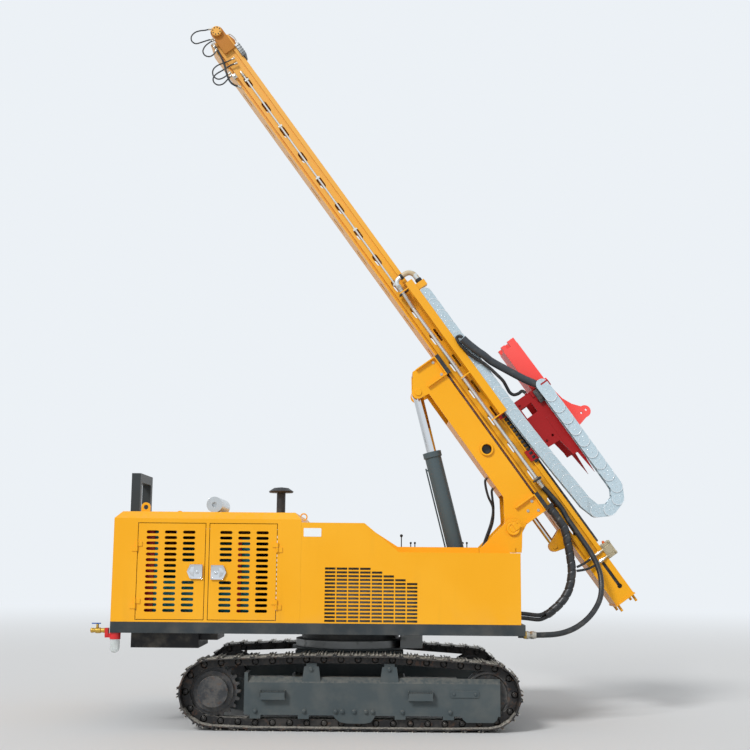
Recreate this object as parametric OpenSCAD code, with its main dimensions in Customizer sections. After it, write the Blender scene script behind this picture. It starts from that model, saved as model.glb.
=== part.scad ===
// Crawler pile driving rig: steel tracks, a slewing engine deck, a luffing boom and a feed mast
// that slides on it, with the hammer carriage and its drag chain.
// X runs forward to the mast's foot, Y to the machine's left, Z up. Millimetres.

/* [Tracks] */
// Distance between the outer edges of the shoes
track_spread = 2060; // [1960:10:2200]
// Width of a shoe
shoe_width = 330; // [280:10:380]
// Distance from one shoe to the next, about
shoe_pitch = 135; // [120:1:150]
// Height of a grouser's tip over the chain's pin line
grouser_height = 55; // [48:1:62]
// Half the height of a chain link
link_half = 32; // [28:1:36]
// Pin-line radius on the sprocket
sprocket_r = 229; // [215:1:240]
// Pin-line radius on the idler
idler_r = 222; // [205:1:230]

/* [Upper body] */
// Half the width over the side panels
body_half = 980; // [920:5:1010]
// Underside of the deck frame
deck_z = 770; // [750:5:800]
// Height of the deck frame
sill_height = 90; // [80:5:110]
// Rear end of the deck
deck_rear = -1970; // [-2060:5:-1900]
// Front end of the deck's body
deck_front = 1430; // [1380:5:1460]
// Front end of the deck frame
sill_front = 1465; // [1440:5:1480]
// Front wall of the engine hood
hood_front = -402; // [-440:2:-360]
// Top of the engine hood
hood_top = 1770; // [1720:5:1820]
// Thickness of the sheet panels
sheet = 8; // [5:1:10]

/* [Doors] */
// Height of a door
door_height = 798; // [760:2:810]
// Width of a door
door_width = 570; // [540:2:580]
// Depth of a door's edge
door_depth = 20; // [14:1:26]
// Gap around a door
door_gap = 5; // [4:1:8]

/* [Boom and mast] */
// Distance of the boom's pin in front of the slew axis
pivot_x = 1460; // [1430:5:1480]
// Height of the boom's pin
pivot_z = 1670; // [1640:5:1700]
// Lean of the mast from the vertical, backwards
lean = 35.7; // [30:0.1:40]
// Length of the mast below the boom's pin
mast_below = 1100; // [1000:10:1120]
// Length of the mast above the boom's pin
mast_above = 5430; // [5000:10:5600]
// Half the width of the mast
mast_half = 150; // [140:2:160]
// Length of the boom above its pin
boom_length = 1694; // [1650:2:1720]

/* [Feed] */
// Radius of the drag chain's bend at mid-link
chain_bend_r = 190; // [170:2:210]
// Length of one link of the drag chain
chain_link = 122; // [110:1:130]

/* [Hidden] */
$fn = 48;
small = 0.5;
cast_grey = [0.35, 0.38, 0.39];
dark = [0.10, 0.10, 0.11];
yellow = [0.97, 0.70, 0.16];
red = [0.90, 0.20, 0.18];
dark_red = [0.60, 0.10, 0.12];
silver = [0.75, 0.79, 0.82];
sill_grey = [0.27, 0.30, 0.32];

track_y = track_spread / 2 - shoe_width / 2;
sprocket_at = [-1110, 300];
idler_at = [1155, 288];
roller_tread = 70;
carrier_tread = 40;
roller_z = grouser_height + link_half + roller_tread;
carrier_z = 493;
roller_x = [for (i = [-2:2]) 36 + 396 * i];
carrier_x = [-300, 343];

// Wheels that the pin line wraps, counter-clockwise from the sprocket: x, z, radius
wheels = concat(
    [[sprocket_at[0], sprocket_at[1], sprocket_r]],
    [for (x = [roller_x[0], roller_x[4]]) [x, roller_z, roller_tread + link_half]],
    [[idler_at[0], idler_at[1], idler_r]],
    [for (x = [carrier_x[1], carrier_x[0]]) [x, carrier_z, carrier_tread + link_half]]
);
wheel_count = len(wheels);

// Direction of the outward normal on the straight run from wheel i to the next
function run_normal(i) =
    let (a = wheels[i], b = wheels[(i + 1) % wheel_count], dx = b[0] - a[0], dz = b[1] - a[1])
    atan2(dz, dx) - 90 + asin((a[2] - b[2]) / sqrt(dx * dx + dz * dz));

function turned_up(from, to) = to < from - 0.001 ? turned_up(from, to + 360) : to;

// Loop at a distance outside the pin line, as points; where clear is true its chords clear the wheels
function track_loop(off, step = 12, clear = false) = [
    for (i = [0:wheel_count - 1])
        let (from = run_normal((i + wheel_count - 1) % wheel_count),
             to = turned_up(from, run_normal(i)),
             n = max(1, ceil((to - from) / step)), w = wheels[i],
             r = (w[2] + off) / (clear ? cos((to - from) / (2 * n)) : 1))
        for (k = [0:n])
            let (a = from + (to - from) * k / n) [w[0] + r * cos(a), w[1] + r * sin(a)]
];

pin_line = track_loop(0, 4);
pin_count = len(pin_line);
function gap(a, b) = sqrt((a[0] - b[0]) * (a[0] - b[0]) + (a[1] - b[1]) * (a[1] - b[1]));
function run_lengths(p, i = 0, sum = 0) =
    i == len(p) ? [sum] : concat([sum], run_lengths(p, i + 1, sum + gap(p[i], p[(i + 1) % len(p)])));
pin_sums = run_lengths(pin_line);
loop_length = pin_sums[pin_count];
shoe_count = round(loop_length / shoe_pitch);
along_x_table = [for (i = [0:pin_count]) [pin_sums[i], pin_line[i % pin_count][0]]];
along_z_table = [for (i = [0:pin_count]) [pin_sums[i], pin_line[i % pin_count][1]]];
function wrapped(s) = s < 0 ? s + loop_length : (s > loop_length ? s - loop_length : s);
function on_track(s) = [lookup(wrapped(s), along_x_table), lookup(wrapped(s), along_z_table)];

deck_top = deck_z + sill_height;
door_z = deck_top + 17;
door_rear_x = -1769;
door_front_x = -601;
hinge_y = body_half + 9;
hinge_z = [door_z + 130, door_z + 600];

trough_half = 185;
trough_floor = 1100;
wall_thick = 30;
low_deck_z = 1448;
high_deck_z = 1687;
wall_top = 1500;
pin_r = 35;
running = 0.1;

luff_base = [1000, 1310];
luff_eye_t = 1510;
luff_eye_n = 27;
boom_half = 170;
boom_plate = 12;
boom_rear = 100;
boom_face = 335;

mast_rear = 360;
mast_face = 556;
flange = 12;
groove_half = 108;
web_half = 128;
web = [392, 516];
slot_n = 446;
slot_pitch = 308;
slot_low_t = -320;
slot_count = 18;
seat = 0.2;
chain_y = [-255, -175];
chain_height = 104;
chain_low_n = mast_face + 28 + chain_height / 2;
chain_mid_n = chain_low_n + chain_bend_r;
chain_high_n = chain_low_n + 2 * chain_bend_r;
bend_t = -165;
chain_fixed_t = 2280;
guard_t = [900, 2400];
guard_y = [-268, -173];
chain_carriage_t = 860;
slide_n = 236;
guide_face = 380;
pipe_n = 449;
pipe_y = [-150, -215];
pipe_r = 16;
pipe_shift_t = [2180, 2340];
pipe_low_t = 150;
elbow_pipe_r = 21;
elbow_r = 50;
elbow_t = 2430;
peg_n = 540;
peg_r = 12;
peg_end = mast_below + 65;
valve_tip = -2140;
foot_reach = pivot_x + (peg_n + peg_r) * cos(lean) + peg_end * sin(lean);
middle_x = (foot_reach + valve_tip) / 2;

// Moves a piece from the slew axis's frame to the model's own
module placed() translate([-middle_x, 0, 0]) children();

// Frame of the mast: X is forward off the boom's pin, Z is up along the mast
module leaning() placed() translate([pivot_x, 0, pivot_z]) rotate([0, -lean, 0]) children();

// Extrudes an outline in X and Z between two values of Y
module side_on(y0, y1) translate([0, y1, 0]) rotate([90, 0, 0]) linear_extrude(y1 - y0) children();

// Extrudes an outline in Y and Z between two values of X
module end_on(x0, x1) translate([x0, 0, 0]) rotate([90, 0, 90]) linear_extrude(x1 - x0) children();

module box(low, high) translate(low) cube(high - low);

// Cylinder across the machine
module across(x, z, r, y0, y1) translate([x, y1, z]) rotate([90, 0, 0]) cylinder(r = r, h = y1 - y0);

module both_sides() {
    children();
    mirror([0, 1, 0]) children();
}

module slot(length, height) {
    square([length - height, height], center = true);
    for (s = [-1, 1]) translate([s * (length - height) / 2, 0]) circle(d = height, $fn = 12);
}

// Undercarriage, drawn for the right side with the track's middle at Y = 0

// Outer outline of one shoe with its two grousers, in the order of travel
belt = [link_half - 5, link_half + 1];
shoe_outline = let (h = grouser_height, p = shoe_pitch / 2) [
    [p - 4, belt[1]], [p - 4, h - 8], [p - 12, h], [p - 20, h - 15],
    [-p + 20, h - 15], [-p + 10, h], [-p, h - 8], [-p, belt[1]]
];
function turned(v, angle) = [v[0] * cos(angle) - v[1] * sin(angle), v[0] * sin(angle) + v[1] * cos(angle)];
function shoe_points(s) =
    let (a = on_track(s - 40), b = on_track(s + 40), angle = atan2(b[1] - a[1], b[0] - a[0]) + 180)
    [for (q = shoe_outline) on_track(s) + turned(q, angle)];

module track() {
    side_on(-shoe_width / 2, shoe_width / 2) difference() {
        polygon([for (i = [0:shoe_count - 1]) each shoe_points(loop_length * i / shoe_count)]);
        polygon(track_loop(belt[0], 20, true));
    }
    for (s = [-1, 1]) side_on(s * 35 - 15, s * 35 + 15) difference() {
        polygon(track_loop(belt[0] + 1, 20, true));
        polygon(track_loop(-link_half, 20, true));
    }
}

frame_rear = -822;
frame_front = 1254;
frame_low = 121;
frame_side = 380;
frame_top = 422;
step_x = [-716, 496];
step_size = [206, 63];
// Lugs under the frame at the rollers, and the outlines of the guards between them
lug_outline = [[-45, 92], [45, 92], [45, 125], [-45, 125]];
middle_guard = [[-118, 125], [-102, 100], [-60, 68], [0, 58], [140, 58], [190, 68], [218, 100], [228, 125]];
front_guard = [[931, 125], [944, 100], [975, 72], [1200, 72], [1226, 96], [1235, 125]];
module track_frame() {
    // Channel that is open below, with a sloped shoulder on each side
    difference() {
        end_on(frame_rear, frame_front) difference() {
            polygon([[-100, frame_low], [-100, frame_side], [-58, frame_top], [58, frame_top], [100, frame_side],
                     [100, frame_low]]);
            polygon([[-88, 100], [-88, frame_side - 5], [-53, frame_top - 12], [53, frame_top - 12],
                     [88, frame_side - 5], [88, 100]]);
        }
        box([900, -60, 350], [1300, 60, 500]);
    }
    // Flange of the drive
    box([frame_rear - 28, -100, 124], [frame_rear + 2, 100, 458]);
    for (x = roller_x) {
        across(x, roller_z, roller_tread - small, -52, 52);
        across(x, roller_z, 26, -90, 90);
    }
    both_sides() side_on(88, 100) {
        for (i = [0, 1, 3, 4]) translate([roller_x[i], 0]) polygon(lug_outline);
        polygon(middle_guard);
        polygon(front_guard);
    }
    for (x = carrier_x) {
        across(x, carrier_z, carrier_tread - small, -52, 52);
        across(x, carrier_z, 16, -86, 60);
        side_on(-92, -76) translate([x, 0]) polygon([
            [-79, 376], [79, 376], [60, 511], [43, 511], [43, 537], [-43, 537], [-43, 511], [-60, 511]
        ]);
    }
    // Steps, and a plain plate with two bolts, on the outer side
    for (x = step_x) side_on(-122, -99) translate([x, 247]) square(step_size);
    side_on(-107, -99) hull() for (x = [856, 1066], z = [283, 314]) translate([x, z]) circle(r = 12);
    for (x = [872, 1050]) across(x, 298, 12, -113, -99);
    // Bracket of the drive motor on the inner side
    side_on(88, 100) difference() {
        union() {
            translate(sprocket_at) circle(r = 150);
            polygon([[-1120, 170], [frame_rear + 5, frame_low], [frame_rear + 5, frame_side], [-1120, 440]]);
        }
        translate(sprocket_at) circle(r = 96);
    }
}

sprocket_teeth = 21;
module sprocket() {
    root = sprocket_r - 34;
    tip = sprocket_r - 6;
    side_on(-14, 14) translate(sprocket_at) polygon([
        for (i = [0:sprocket_teeth - 1])
            let (a = 360 * i / sprocket_teeth)
            for (c = [[-4.6, root], [-2.2, tip], [2.2, tip], [4.6, root]])
                [c[1] * cos(a + c[0]), c[1] * sin(a + c[0])]
    ]);
    across(sprocket_at[0], sprocket_at[1], 165, -40, 14);
    across(sprocket_at[0], sprocket_at[1], 125, -90, 14);
    across(sprocket_at[0], sprocket_at[1], 95, 0, 160);
}

module idler() {
    tread = idler_r - link_half - small;
    translate([idler_at[0], 0, idler_at[1]]) rotate([90, 0, 0]) rotate_extrude($fn = 72) polygon([
        [0, -46], [60, -46], [66, -34], [tread - 30, -34], [tread - 18, -54], [tread, -54], [tread, -17],
        [tread + 16, -13], [tread + 16, 13], [tread, 17], [tread, 54], [tread - 18, 54], [tread - 30, 34],
        [66, 34], [60, 46], [0, 46]
    ]);
    across(idler_at[0], idler_at[1], 32, -88 + seat, 88 - seat);
}

module on_right() placed() translate([0, -track_y, 0]) children();
module on_left() placed() mirror([0, 1, 0]) translate([0, -track_y, 0]) children();

module track_right() color(dark) on_right() track();
module track_left() color(dark) on_left() track();
module track_frame_right() color(cast_grey) on_right() track_frame();
module track_frame_left() color(cast_grey) on_left() track_frame();
module sprocket_right() color(dark) on_right() sprocket();
module sprocket_left() color(dark) on_left() sprocket();
module idler_right() color(dark) on_right() idler();
module idler_left() color(dark) on_left() idler();

module car_body() color(cast_grey) placed() {
    inner = track_y - 100;
    box([-470, -420, 300], [470, 420, 600]);
    both_sides() for (x = [-480, 320]) box([x, 380, 250], [x + 160, inner, 410]);
    translate([0, 0, 600]) cylinder(r = 520, h = 18);
}

module slew_ring() color(dark) placed() {
    difference() {
        translate([0, 0, 618]) cylinder(r = 490, h = 64 - seat, $fn = 96);
        translate([0, 0, 600]) cylinder(r = 380, h = 100);
    }
    // Housing of the slew drive
    box([446, -330, 618], [640, -130, 740]);
}

// Upper body

module deck_frame() color(sill_grey) placed() {
    rim = 60;
    difference() {
        box([deck_rear, -body_half, deck_z], [sill_front, body_half, deck_top]);
        box([deck_rear + rim, -body_half + rim, deck_z - 1], [sill_front - rim, body_half - rim, deck_top - sheet]);
    }
    for (s = [-1, 1]) box([deck_rear + 20, s * 420 - 40, deck_z], [sill_front - 20, s * 420 + 40, deck_top - 1]);
    translate([0, 0, 682]) cylinder(r = 440, h = deck_top - 683, $fn = 96);
    // Block and fitting of the smooth hose
    box([sill_front - 25, -705, 738], [sill_front + 20, -655, 786]);
    translate([sill_front + 19, -680, 762]) rotate([0, 90, 0]) cylinder(r = 28, h = 26);
}

module chamfered(x0, x1, half, z0, z1, c) intersection() {
    side_on(-half, half)
        polygon([[x0, z0], [x1, z0], [x1, z1 - c], [x1 - c, z1], [x0 + c, z1], [x0, z1 - c]]);
    end_on(x0, x1)
        polygon([[-half, z0], [half, z0], [half, z1 - c], [half - c, z1], [-half + c, z1], [-half, z1 - c]]);
}

module door_openings() for (x = [door_rear_x, door_front_x - door_width])
    box([x, body_half - 40, door_z], [x + door_width, body_half + 40, door_z + door_height]);

// Half of a hinge, below the split where low is true; it reaches along X to the side given
module hinge_half(x, z, side, low) {
    z0 = low ? z - 40 : z + 1;
    z1 = low ? z : z + 40;
    translate([x, hinge_y, z0]) cylinder(r = 8, h = z1 - z0, $fn = 24);
    for (p = [[0, seat], [8, -1]])
        box([min(x + side * p[0], x + side * 42), body_half + p[1], z0],
            [max(x + side * p[0], x + side * 42), body_half + 6, z1]);
}

module hood() color(yellow) placed() {
    difference() {
        chamfered(deck_rear, hood_front, body_half, deck_top, hood_top, 58);
        chamfered(deck_rear + sheet, hood_front - sheet, body_half - sheet, deck_top - 1, hood_top - sheet, 56);
        both_sides() door_openings();
    }
    both_sides() {
        for (z = hinge_z) {
            hinge_half(door_rear_x - 2, z, -1, true);
            hinge_half(door_front_x + 2, z, 1, true);
        }
        // Lifting eye
        side_on(870, 890) translate([-1728, hood_top - 1]) difference() {
            union() {
                translate([-38, 0]) square([76, 40]);
                translate([0, 40]) circle(r = 38);
            }
            translate([0, 38]) circle(r = 20);
        }
    }
}

slat_rows = 15;
slat_pitch = 46;
// Doors as drawn for the left side with the hinge at the low end of X; columns run from the hinge
module door_leaf() {
    w = door_width - 2 * door_gap;
    h = door_height - 2 * door_gap;
    difference() {
        box([0, -door_depth, 0], [w, 0, h]);
        box([6, -door_depth - 1, 6], [w - 6, -6, h - 6]);
        translate([0, 1, 0]) rotate([90, 0, 0]) linear_extrude(8)
            for (col = [0:2], row = [0:slat_rows - 1])
                if (col < 2 || row < 6 || row > 8)
                    translate([120 + 152 * col, 72 + slat_pitch * row]) slot(103, 25);
    }
    // Paddle latch
    translate([w - 65, 8, h * 0.5 + 5]) rotate([90, 0, 0]) linear_extrude(9)
        polygon([[-44, 0], [-22, -44], [44, -44], [44, 44], [-22, 44]]);
}

module door(rear) placed() {
    x = rear ? door_rear_x : door_front_x;
    s = rear ? 1 : -1;
    translate([x + s * door_gap, body_half, door_z + door_gap]) scale_x(s) door_leaf();
    for (z = hinge_z) hinge_half(x - s * 2, z, s, false);
}
module scale_x(s) mirror([s < 0 ? 1 : 0, 0, 0]) children();

module door_right_rear() color(yellow) mirror([0, 1, 0]) door(true);
module door_right_front() color(yellow) mirror([0, 1, 0]) door(false);
module door_left_rear() color(yellow) door(true);
module door_left_front() color(yellow) door(false);

front_profile = [
    [hood_front, deck_top], [deck_front, deck_top], [deck_front, low_deck_z],
    [416, low_deck_z], [124, high_deck_z], [hood_front, high_deck_z]
];

module side_panel() placed() side_on(body_half - sheet, body_half) difference() {
    polygon(front_profile);
    for (col = [0:7], row = [0:14])
        if (row <= 14 - max(0, col - 3))
            translate([-200 + 97.5 * col, 872 + 30.5 * row]) square([87, 18]);
}
module side_panel_left() color(yellow) side_panel();
module side_panel_right() color(yellow) mirror([0, 1, 0]) side_panel();

module front_body() color(yellow) placed() {
    low = trough_half + wall_thick;
    both_sides() {
        // Deck over a side compartment
        side_on(low, body_half - sheet) polygon([
            [hood_front, high_deck_z], [124, high_deck_z], [416, low_deck_z], [deck_front - sheet, low_deck_z],
            [deck_front - sheet, low_deck_z - sheet], [413, low_deck_z - sheet], [121, high_deck_z - sheet],
            [hood_front, high_deck_z - sheet]
        ]);
        // Wall of the middle trough
        side_on(trough_half, low) polygon([
            [hood_front, deck_top], [1150, deck_top], [1150, wall_top], [420, wall_top],
            [124, high_deck_z], [hood_front, high_deck_z]
        ]);
        box([deck_front - sheet, low, deck_top], [deck_front, body_half - sheet, low_deck_z]);
    }
    box([hood_front, -trough_half, trough_floor - 12], [1150, trough_half, trough_floor]);
    // Ears of the luffing cylinder
    for (s = [-1, 1]) side_on(s * 66 - 14, s * 66 + 14) hull_free_ear(luff_base, trough_floor - 1, 62, 90);
    across(luff_base[0], luff_base[1], 30, -80, 80);
}
// Ear with a round head on a straight foot
module hull_free_ear(at, foot, r, half) {
    translate(at) circle(r = r);
    polygon([[at[0] - half, foot], [at[0] + half, foot], [at[0] + r * 0.96, at[1] + r * 0.28],
             [at[0] - r * 0.96, at[1] + r * 0.28]]);
}

module boom_pedestals() color(yellow) placed() {
    both_sides() {
        side_on(trough_half, trough_half + wall_thick) {
            // Two small blocks hang below its front
            polygon([[1152, deck_top], [deck_front, deck_top], [deck_front, 1457], [1476, 1457], [1476, 1496],
                     [1487, 1496], [1487, 1457], [1534, 1457], [1538, 1500], [pivot_x + 84, pivot_z + 30],
                     [pivot_x - 55, pivot_z + 70], [1172, wall_top], [1152, wall_top]]);
            translate([pivot_x, pivot_z]) circle(r = 90);
        }
        across(pivot_x, pivot_z, 46, trough_half + wall_thick - 1, trough_half + wall_thick + 14);
    }
    across(pivot_x, pivot_z, pin_r, -trough_half - 1, trough_half + 1);
    box([deck_front - 12, -trough_half, deck_top], [deck_front, trough_half, 1380]);
}

module engine_block() color([0.10, 0.42, 0.48]) placed() {
    box([-1640, -300, deck_top], [-880, 300, 1320]);
    box([-1560, -160, 1320], [-960, 160, 1520]);
    translate([-1640, 0, 1120]) rotate([0, -90, 0]) cylinder(r = 190, h = 120);
}

module cooler_block() color([0.45, 0.45, 0.43]) placed() box([-260, -860, deck_top], [640, -700, 1340]);

module muffler() color(silver) placed() {
    difference() {
        across(-1174, 1842, 68, -700, -140);
        across(-1174, 1842, 22, -701, -640);
    }
    for (y = [-560, -280]) box([-1214, y - 20, hood_top], [-1134, y + 20, 1800]);
}

module intake_stack() color(dark) placed() translate([-690, 450, 0]) {
    translate([0, 0, hood_top]) cylinder(r = 42, h = 250);
    rotate_extrude() polygon([[0, 2010], [112, 2010], [118, 2024], [70, 2056], [0, 2064]]);
}

module mast_rest() color(sill_grey) placed() {
    both_sides() box([-1980, 210, hood_top], [-1900, 290, 2057]);
    box([-1980, -290, 2056], [-1900, 290, 2136]);
}

module under_box() color(dark) placed() {
    box([-1837, -760, 636], [-1266, -180, deck_z]);
    box([-1267, -700, 700], [-1114, -240, deck_z]);
}

module air_separator() color([0.80, 0.15, 0.15]) placed() {
    translate([-1935, -925, 716]) cylinder(r = 44, h = deck_z - 716);
    box([-2018, -945, 728], [-1935, -905, 762]);
    box([-2018, -950, 740], [-1991, -900, 806]);
    difference() {
        translate([valve_tip, -925, 785]) rotate([0, 90, 0]) cylinder(r = 15, h = -2017 - valve_tip);
        translate([valve_tip - 1, -925, 785]) rotate([0, 90, 0]) cylinder(r = 8, h = 41);
    }
    translate([-2085, -925, 785]) cylinder(r = 6, h = 56);
    box([-2130, -934, 839], [-2060, -916, 845]);
}

module separator_bowl() color([0.80, 0.82, 0.80]) placed() translate([-1935, -925, 0])
    rotate_extrude() polygon([[0, 716], [40, 716], [40, 640], [32, 618], [14, 605], [0, 604]]);

// Position along X, height of the lever and radius of its knob
levers = [[470, 150, 15], [560, 78, 11], [600, 78, 11], [1060, 82, 11], [1100, 82, 11]];
module control_levers() color(dark) placed() {
    box([440, 470, low_deck_z], [1140, 590, 1478]);
    for (v = levers) translate([v[0], 530, 1478]) {
        cylinder(r = 5, h = v[1] - v[2]);
        translate([0, 0, v[1] - v[2]]) rotate_extrude($fn = 24)
            polygon([for (a = [-90:30:90]) [v[2] * cos(a), v[2] * sin(a)]]);
    }
}

// Boom

boom_outline = [
    [95, boom_length], [boom_face, boom_length - 4], [boom_face, -40], [130, -40], [40, -84], [-60, -60],
    [-88, 20], [-20, 97], [boom_rear, 280], [boom_rear, 1440], [30, 1452], [-20, 1528]
];

module boom() color(yellow) leaning() {
    difference() {
        union() {
            for (s = [-1, 1]) side_on(s * (boom_half - boom_plate / 2) - boom_plate / 2,
                                      s * (boom_half - boom_plate / 2) + boom_plate / 2) {
                polygon(boom_outline);
                circle(r = 90);
                translate([luff_eye_n, luff_eye_t]) circle(r = 60);
            }
            // Face, rear and cap plates
            box([boom_face - 12, -boom_half, -40], [boom_face, boom_half, boom_length - 4]);
            box([boom_rear, -boom_half, 300], [boom_rear + 12, boom_half, 1134]);
            side_on(-boom_half, boom_half)
                polygon([[95, boom_length - 14], [335, boom_length - 14], [335, boom_length - 4], [95, boom_length]]);
            both_sides() {
                across(luff_eye_n, luff_eye_t, 32, 50, boom_half + 8);
                across(0, 0, 58, boom_half - 90, boom_half + 13);
                across(234, 720, 54, boom_half - 20, boom_half + 6);
                // Ribs that carry the slide guides
                for (t = [1682, 1491, 130, -40]) box([130, boom_half - 1, t], [boom_face + 8, boom_half + 30, t + 12]);
                box([boom_face - 4, boom_half - 1, -40], [boom_face + 8, boom_half + 30, 142]);
                box([boom_face - 4, boom_half - 1, 1491], [boom_face + 8, boom_half + 30, boom_length]);
            }
        }
        across(0, 0, pin_r + running, -400, 400);
        both_sides() across(234, 720, 45, boom_half - 40, boom_half + 40);
        // Way for the slide cylinder's rod
        box([slide_n - 60, -60, -100], [slide_n + 60, 60, -30]);
    }
}

module slide_guides() color(dark) leaning() {
    both_sides() for (t = [-40, 1491]) {
        len = t < 0 ? 182 : 203;
        box([boom_face, 60, t], [mast_rear - small, boom_half - 1, t + len]);
        box([boom_face + 8, mast_half + small, t], [guide_face, boom_half + 30, t + len]);
        box([mast_rear + flange + small, groove_half + 5, t], [web[0] - 5, mast_half + 2, t + len]);
    }
    // Clamp of the hose bundle
    box([boom_face + 8, -246, -40], [boom_face + 88, -boom_half - 29, -10]);
}

module slide_barrel() color(cast_grey) leaning() {
    translate([slide_n, 0, 0]) difference() {
        union() {
            translate([0, 0, -28]) cylinder(r = 45, h = 700);
            rotate([90, 0, 0]) translate([0, 720, -60]) cylinder(r = 60, h = 120);
        }
        translate([0, 0, -40]) cylinder(r = 25 + running, h = 80);
        translate([0, 0, 30]) cylinder(r = 34, h = 620);
    }
    across(slide_n, 720, 40, -boom_half + 30, boom_half - 30);
}

// Luffing cylinder

module luff_frame() placed() translate([luff_base[0], 0, luff_base[1]])
    rotate([0, luff_angle, 0]) children();
luff_eye_x = pivot_x + luff_eye_n * cos(lean) - luff_eye_t * sin(lean);
luff_eye_z = pivot_z + luff_eye_n * sin(lean) + luff_eye_t * cos(lean);
luff_angle = atan2(luff_eye_x - luff_base[0], luff_eye_z - luff_base[1]);
luff_length = sqrt(pow(luff_eye_x - luff_base[0], 2) + pow(luff_eye_z - luff_base[1], 2));
luff_rod_r = 47;
luff_rod_low = 560;

module luff_barrel() color(sill_grey) luff_frame() {
    difference() {
        union() {
            translate([0, 0, 40]) cylinder(r = 46, h = 40);
            translate([0, 0, 74]) cylinder(r = 76, h = 980);
            translate([0, 0, 1046]) cylinder(r = 86, h = 50);
            across(0, 0, 60, -48, 48);
        }
        across(0, 0, 30 + running, -60, 60);
        translate([0, 0, 980]) cylinder(r = luff_rod_r + running, h = 200);
        translate([0, 0, 90]) cylinder(r = 66, h = 900);
    }
    translate([-90, 0, 120]) cylinder(r = 7, h = 840);
    for (z = [130, 940]) translate([-90, 0, z]) rotate([0, 90, 0]) cylinder(r = 8, h = 22);
}

module luff_rod() color(silver) luff_frame() {
    translate([0, 0, luff_rod_low]) cylinder(r = luff_rod_r, h = luff_length - 35 - luff_rod_low);
    difference() {
        across(0, luff_length, 54, -44, 44);
        across(0, luff_length, 33, -50, 50);
    }
}

// Mast

// Half of the mast's section as n and y: rear flange, groove, web and front rail
mast_edge = [
    [mast_rear, mast_half], [mast_rear + flange, mast_half], [mast_rear + flange, groove_half],
    [web[0], groove_half], [web[0], web_half], [web[1], web_half], [web[1], mast_half], [mast_face, mast_half]
];
mast_section = concat(mast_edge, [for (i = [len(mast_edge) - 1:-1:0]) [mast_edge[i][0], -mast_edge[i][1]]]);

module mast() color(yellow) leaning() {
    difference() {
        translate([0, 0, -mast_below]) linear_extrude(mast_below + mast_above) difference() {
            polygon(mast_section);
            translate([mast_rear + flange, -groove_half + 12])
                square([mast_face - mast_rear - 2 * flange, 2 * groove_half - 24]);
            translate([web[0] + 12, -web_half + 12]) square([web[1] - web[0], 2 * web_half - 24]);
        }
        // Openings through both webs and in the rear face
        for (i = [0:slot_count - 1]) translate([slot_n, 0, slot_low_t + slot_pitch * i]) rotate([90, 0, 0])
            linear_extrude(400, center = true) rotate(90) slot(125, 50);
        for (i = [0:13]) translate([mast_rear, 0, -200 + 386 * i]) rotate([90, 0, 90])
            linear_extrude(30, center = true) rotate(90) slot(170, 46);
        for (i = [0:3]) translate([497, 0, 956 + 297 * i]) rotate([90, 0, 0])
            linear_extrude(400, center = true) rotate(90) slot(139, 22);
    }
    // Foot: side plates with the tensioner's slot, end plate and pegs
    both_sides() side_on(mast_half - 12, mast_half) difference() {
        translate([mast_rear + 1, -mast_below]) square([mast_face - mast_rear - 2, 500]);
        translate([490, -845]) rotate(90) slot(270, 30);
        translate([490, -968]) circle(r = 22);
    }
    box([mast_rear - 8, -mast_half - 8, -mast_below], [mast_face + 8, mast_half + 8, -mast_below + 14]);
    for (n = [380, peg_n], y = [-110, 110]) translate([n, y, -peg_end]) cylinder(r = peg_r, h = 66);
    // Lug of the slide cylinder
    both_sides() side_on(30, 50) {
        translate([slide_n, -355]) circle(r = 50);
        polygon([[slide_n - 10, -404], [mast_rear + 1, -440], [mast_rear + 1, -250], [slide_n - 10, -306]]);
    }
    across(slide_n, -355, 24, -58, 58);
    // Guard that the drag chain lies in, its brackets and the block that holds the chain's end
    box([mast_face - 8, guard_y[0], guard_t[0]], [mast_face, guard_y[1], guard_t[1]]);
    box([mast_face - 46, guard_y[0], guard_t[0]], [mast_face + 27, guard_y[0] + 6, guard_t[1]]);
    for (t = [guard_t[0], 1375, guard_t[1] - 56]) {
        box([mast_face - 86, guard_y[0], t], [mast_face - 66, -web_half + 1, t + 12]);
        box([mast_face - 146, guard_y[0], t], [mast_face - 45, guard_y[0] + 6, t + 12]);
    }
    box([mast_face - 1, chain_y[0], chain_fixed_t + seat], [chain_low_n + 42, chain_y[1], chain_fixed_t + 60]);
}

head_at = [480, mast_above + 70];
module mast_head() color(yellow) leaning() {
    both_sides() side_on(mast_half, mast_half + 12) {
        translate(head_at) circle(r = 62);
        translate([418, mast_above - 160]) square([124, 230]);
    }
    across(head_at[0], head_at[1], 48, -190, mast_half + 1);
    for (i = [0:7]) across(head_at[0] + 36 * cos(45 * i), head_at[1] + 36 * sin(45 * i), 6, -196, -189);
    box([mast_face, -80, mast_above - 330], [mast_face + 20, 80, mast_above - 200]);
    across(mast_face + 62, mast_above - 265, 45, -150, 60);
}

module feed_motor() color([0.78, 0.72, 0.56]) leaning() {
    box([mast_face, -165, -720], [mast_face + 94, -85, -580]);
    across(mast_face + 47, -650, 34, -172, 60);
    for (t = [-690, -622])
        translate([mast_face - 60, -mast_half - 10 - seat, t]) rotate([0, 90, 0]) cylinder(r = 10, h = 61);
}

module feed_chain() color(dark) leaning()
    box([mast_face, -14, -540], [mast_face + 44, 14, 5100]);

module slide_rod() color(silver) leaning() translate([slide_n, 0, -331]) cylinder(r = 25, h = 880);

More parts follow.
